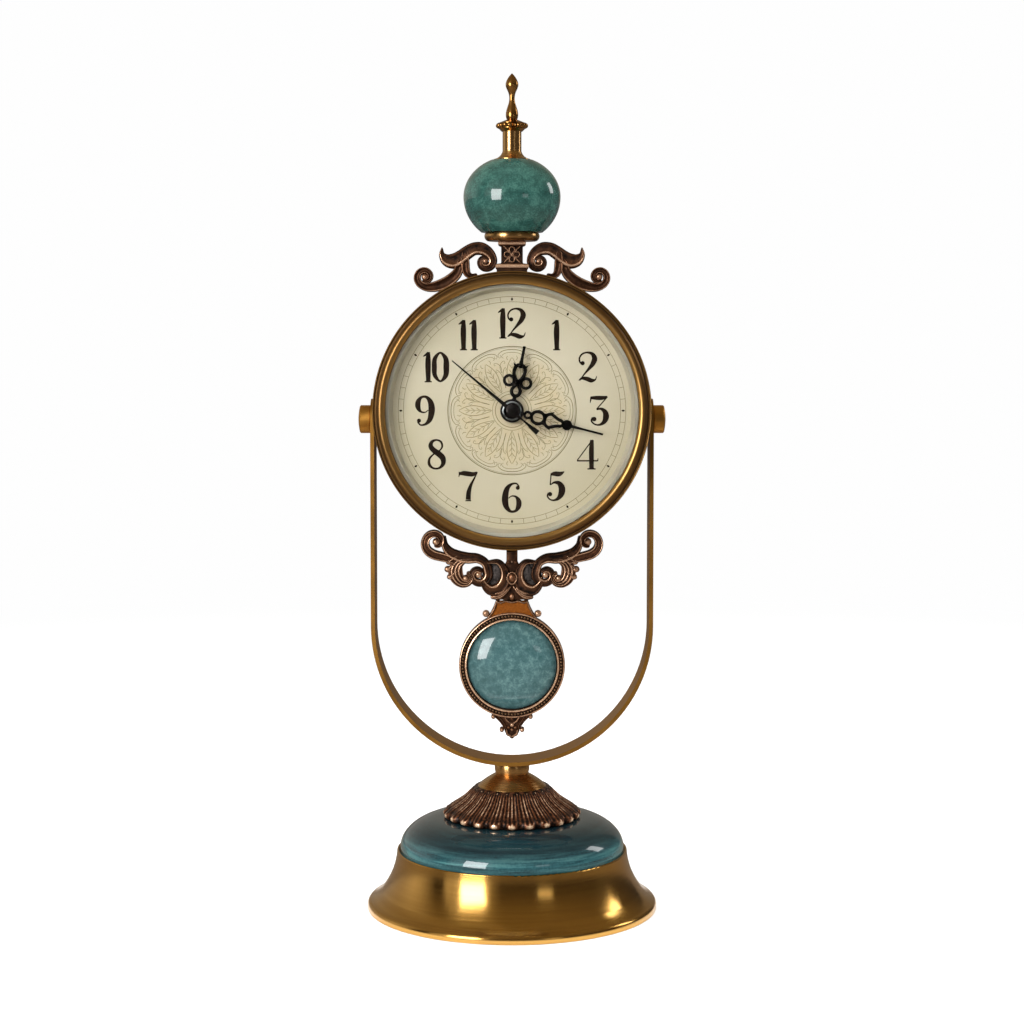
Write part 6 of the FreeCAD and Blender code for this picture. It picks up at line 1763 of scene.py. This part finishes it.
@dataclass
class Studio:
    """Pale floor, soft window lights and the camera of the picture."""

    distance: float = 1233.6
    eye_height: float = 333.1
    focal: float = 73.94
    sensor: float = 36.0
    tilt: float = 3.462
    frame_shift: float = -0.04
    floor_reach: float = 40000.0
    aim_height: float = 260.0
    air: str = "#FEFEFE"
    ceiling: str = "#807255"
    ceiling_share: float = 0.9
    lights: tuple = (
        SoftLight("left_window", (-920, -1190, 520), (640, 800), 17.5, mirrored=True),
        SoftLight("left_loft", (-680, -800, 1250), (560, 520), 6.0),
        SoftLight("front_fill", (0, -1700, 900), (1000, 700), 7.0),
        SoftLight("front_strip", (640, -1050, 400), (300, 180), 0.25, mirrored=True),
        SoftLight("right_window", (1300, 450, 850), (300, 520), 2.4, mirrored=True),
        SoftLight("right_fill", (1200, -700, 620), (500, 900), 5.0),
        SoftLight("ceiling_panel", (0, -150, 1600), (900, 600), 9.0),
        SoftLight("rear_left", (-1100, 900, 500), (300, 700), 5.0),
        SoftLight("rear_right", (1100, 900, 500), (300, 700), 5.0),
    )
    # Degrees round the clock, from its front, and the grey that shiny pieces see there.
    walls: tuple = (
        (-180.0, "#8A857D"), (180.0, "#8A857D"), (-125.0, "#B8B2A8"), (-108.0, "#DCD8CF"),
        (-98.0, "#CFCABF"), (-86.0, "#8A857D"), (-79.0, "#1E1914"), (-70.0, "#1E1914"),
        (-66.0, "#D8D4CB"), (-24.0, "#D8D4CB"), (-19.0, "#7C766C"), (-10.0, "#1E1914"),
        (6.0, "#1E1914"), (11.0, "#000000"), (20.0, "#000000"), (25.0, "#2A251E"),
        (38.0, "#2E2922"), (50.0, "#1A1611"), (61.0, "#4A443C"), (72.0, "#120E0B"),
        (84.0, "#1E1914"), (93.0, "#7C766C"), (103.0, "#A39D92"), (125.0, "#6A645A"),
        (150.0, "#3B3731"))

    def build(self) -> None:
        """Make floor, lights, world and camera."""
        self.floor()
        for light in self.lights:
            light.hang(self.aim_height)
        self.world()
        self.camera()
        view = bpy.context.scene.view_settings
        view.view_transform = "Standard"
        view.look = "None"

    def floor(self) -> None:
        """Lay a large square floor under the felt."""
        reach = self.floor_reach * MM
        corners = [(-reach, -reach, 0), (reach, -reach, 0), (reach, reach, 0), (-reach, reach, 0)]
        mesh = bpy.data.meshes.new("studio_floor")
        mesh.from_pydata(corners, [], [(0, 1, 2, 3)])
        mesh.materials.append(FLOOR_PAINT.material())
        floor = bpy.data.objects.new("studio_floor", mesh)
        bpy.context.scene.collection.objects.link(floor)

    def world(self) -> None:
        """Fill the room with even pale light, and let shiny things see dimmer, warmer walls."""
        world = bpy.data.worlds.new("studio_room")
        world.use_nodes = True
        tree = world.node_tree
        tree.nodes.clear()
        path = add(tree, "LightPath")
        place = add(tree, "TexCoord")
        apart = add(tree, "SeparateXYZ", {0: place.outputs["Generated"]})
        toward = add(tree, "Math", {0: apart.outputs[1], 1: -1.0}, operation="MULTIPLY")
        azimuth = add(tree, "Math", {0: apart.outputs[0], 1: toward}, operation="ARCTAN2")
        turn = add(tree, "MapRange", {"Value": azimuth, "From Min": -math.pi, "From Max": math.pi})
        walls = add(tree, "ValToRGB", {0: turn})
        ramp = walls.color_ramp
        for index, (degrees, grey) in enumerate(self.walls):
            stop = ramp.elements[index] if index < 2 else ramp.elements.new(0.5)
            stop.position = degrees / 360 + 0.5
            stop.color = linear(grey)
        height = add(tree, "MapRange", {"Value": apart.outputs[2], "From Min": 0.1,
                                        "From Max": 0.8, "To Min": 0.0,
                                        "To Max": self.ceiling_share})
        room = add(tree, "Mix", {0: height, 6: walls, 7: linear(self.ceiling)}, data_type="RGBA")
        seen = add(tree, "Mix", {0: path.outputs["Is Glossy Ray"], 6: linear(self.air), 7: room},
                   data_type="RGBA")
        back = add(tree, "Background", {0: seen, "Strength": 1.0})
        add(tree, "OutputWorld", {0: back})
        bpy.context.scene.world = world

    def camera(self) -> None:
        """Set the camera; a slight tilt and a small shift frame the clock as in the picture."""
        data = bpy.data.cameras.new("picture_camera")
        data.lens = self.focal
        data.sensor_width = self.sensor
        data.shift_y = self.frame_shift
        data.clip_end = 2 * self.floor_reach * MM
        camera = bpy.data.objects.new("picture_camera", data)
        camera.location = (0.0, -self.distance * MM, self.eye_height * MM)
        camera.rotation_euler = (math.pi / 2 - math.radians(self.tilt), 0.0, 0.0)
        bpy.context.scene.collection.objects.link(camera)
        bpy.context.scene.camera = camera


def dress_cad_nodes() -> None:
    """Give every CAD node the procedural finish of its material."""
    for finish, nodes in CAD_FINISHES.items():
        for node in nodes:
            mesh_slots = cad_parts[node].material_slots
            if not len(mesh_slots):
                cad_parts[node].data.materials.append(finish.material())
            for mesh_slot in mesh_slots:
                mesh_slot.material = finish.material()
    missing = set(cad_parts) - {node for nodes in CAD_FINISHES.values() for node in nodes}
    LOG.info("nodes without a finish: %s", sorted(missing))


def main() -> None:
    """Build the studio and every piece."""
    logging.basicConfig(level=logging.INFO, format="%(message)s")
    Studio().build()
    dress_cad_nodes()
    Bezel().build()
    DialPrint().build()
    Hands().build()
    Ornament().build()
    Medallion().build()
    Crest().build()
    PetalCollar().build()


if __name__ == "__main__":
    main()
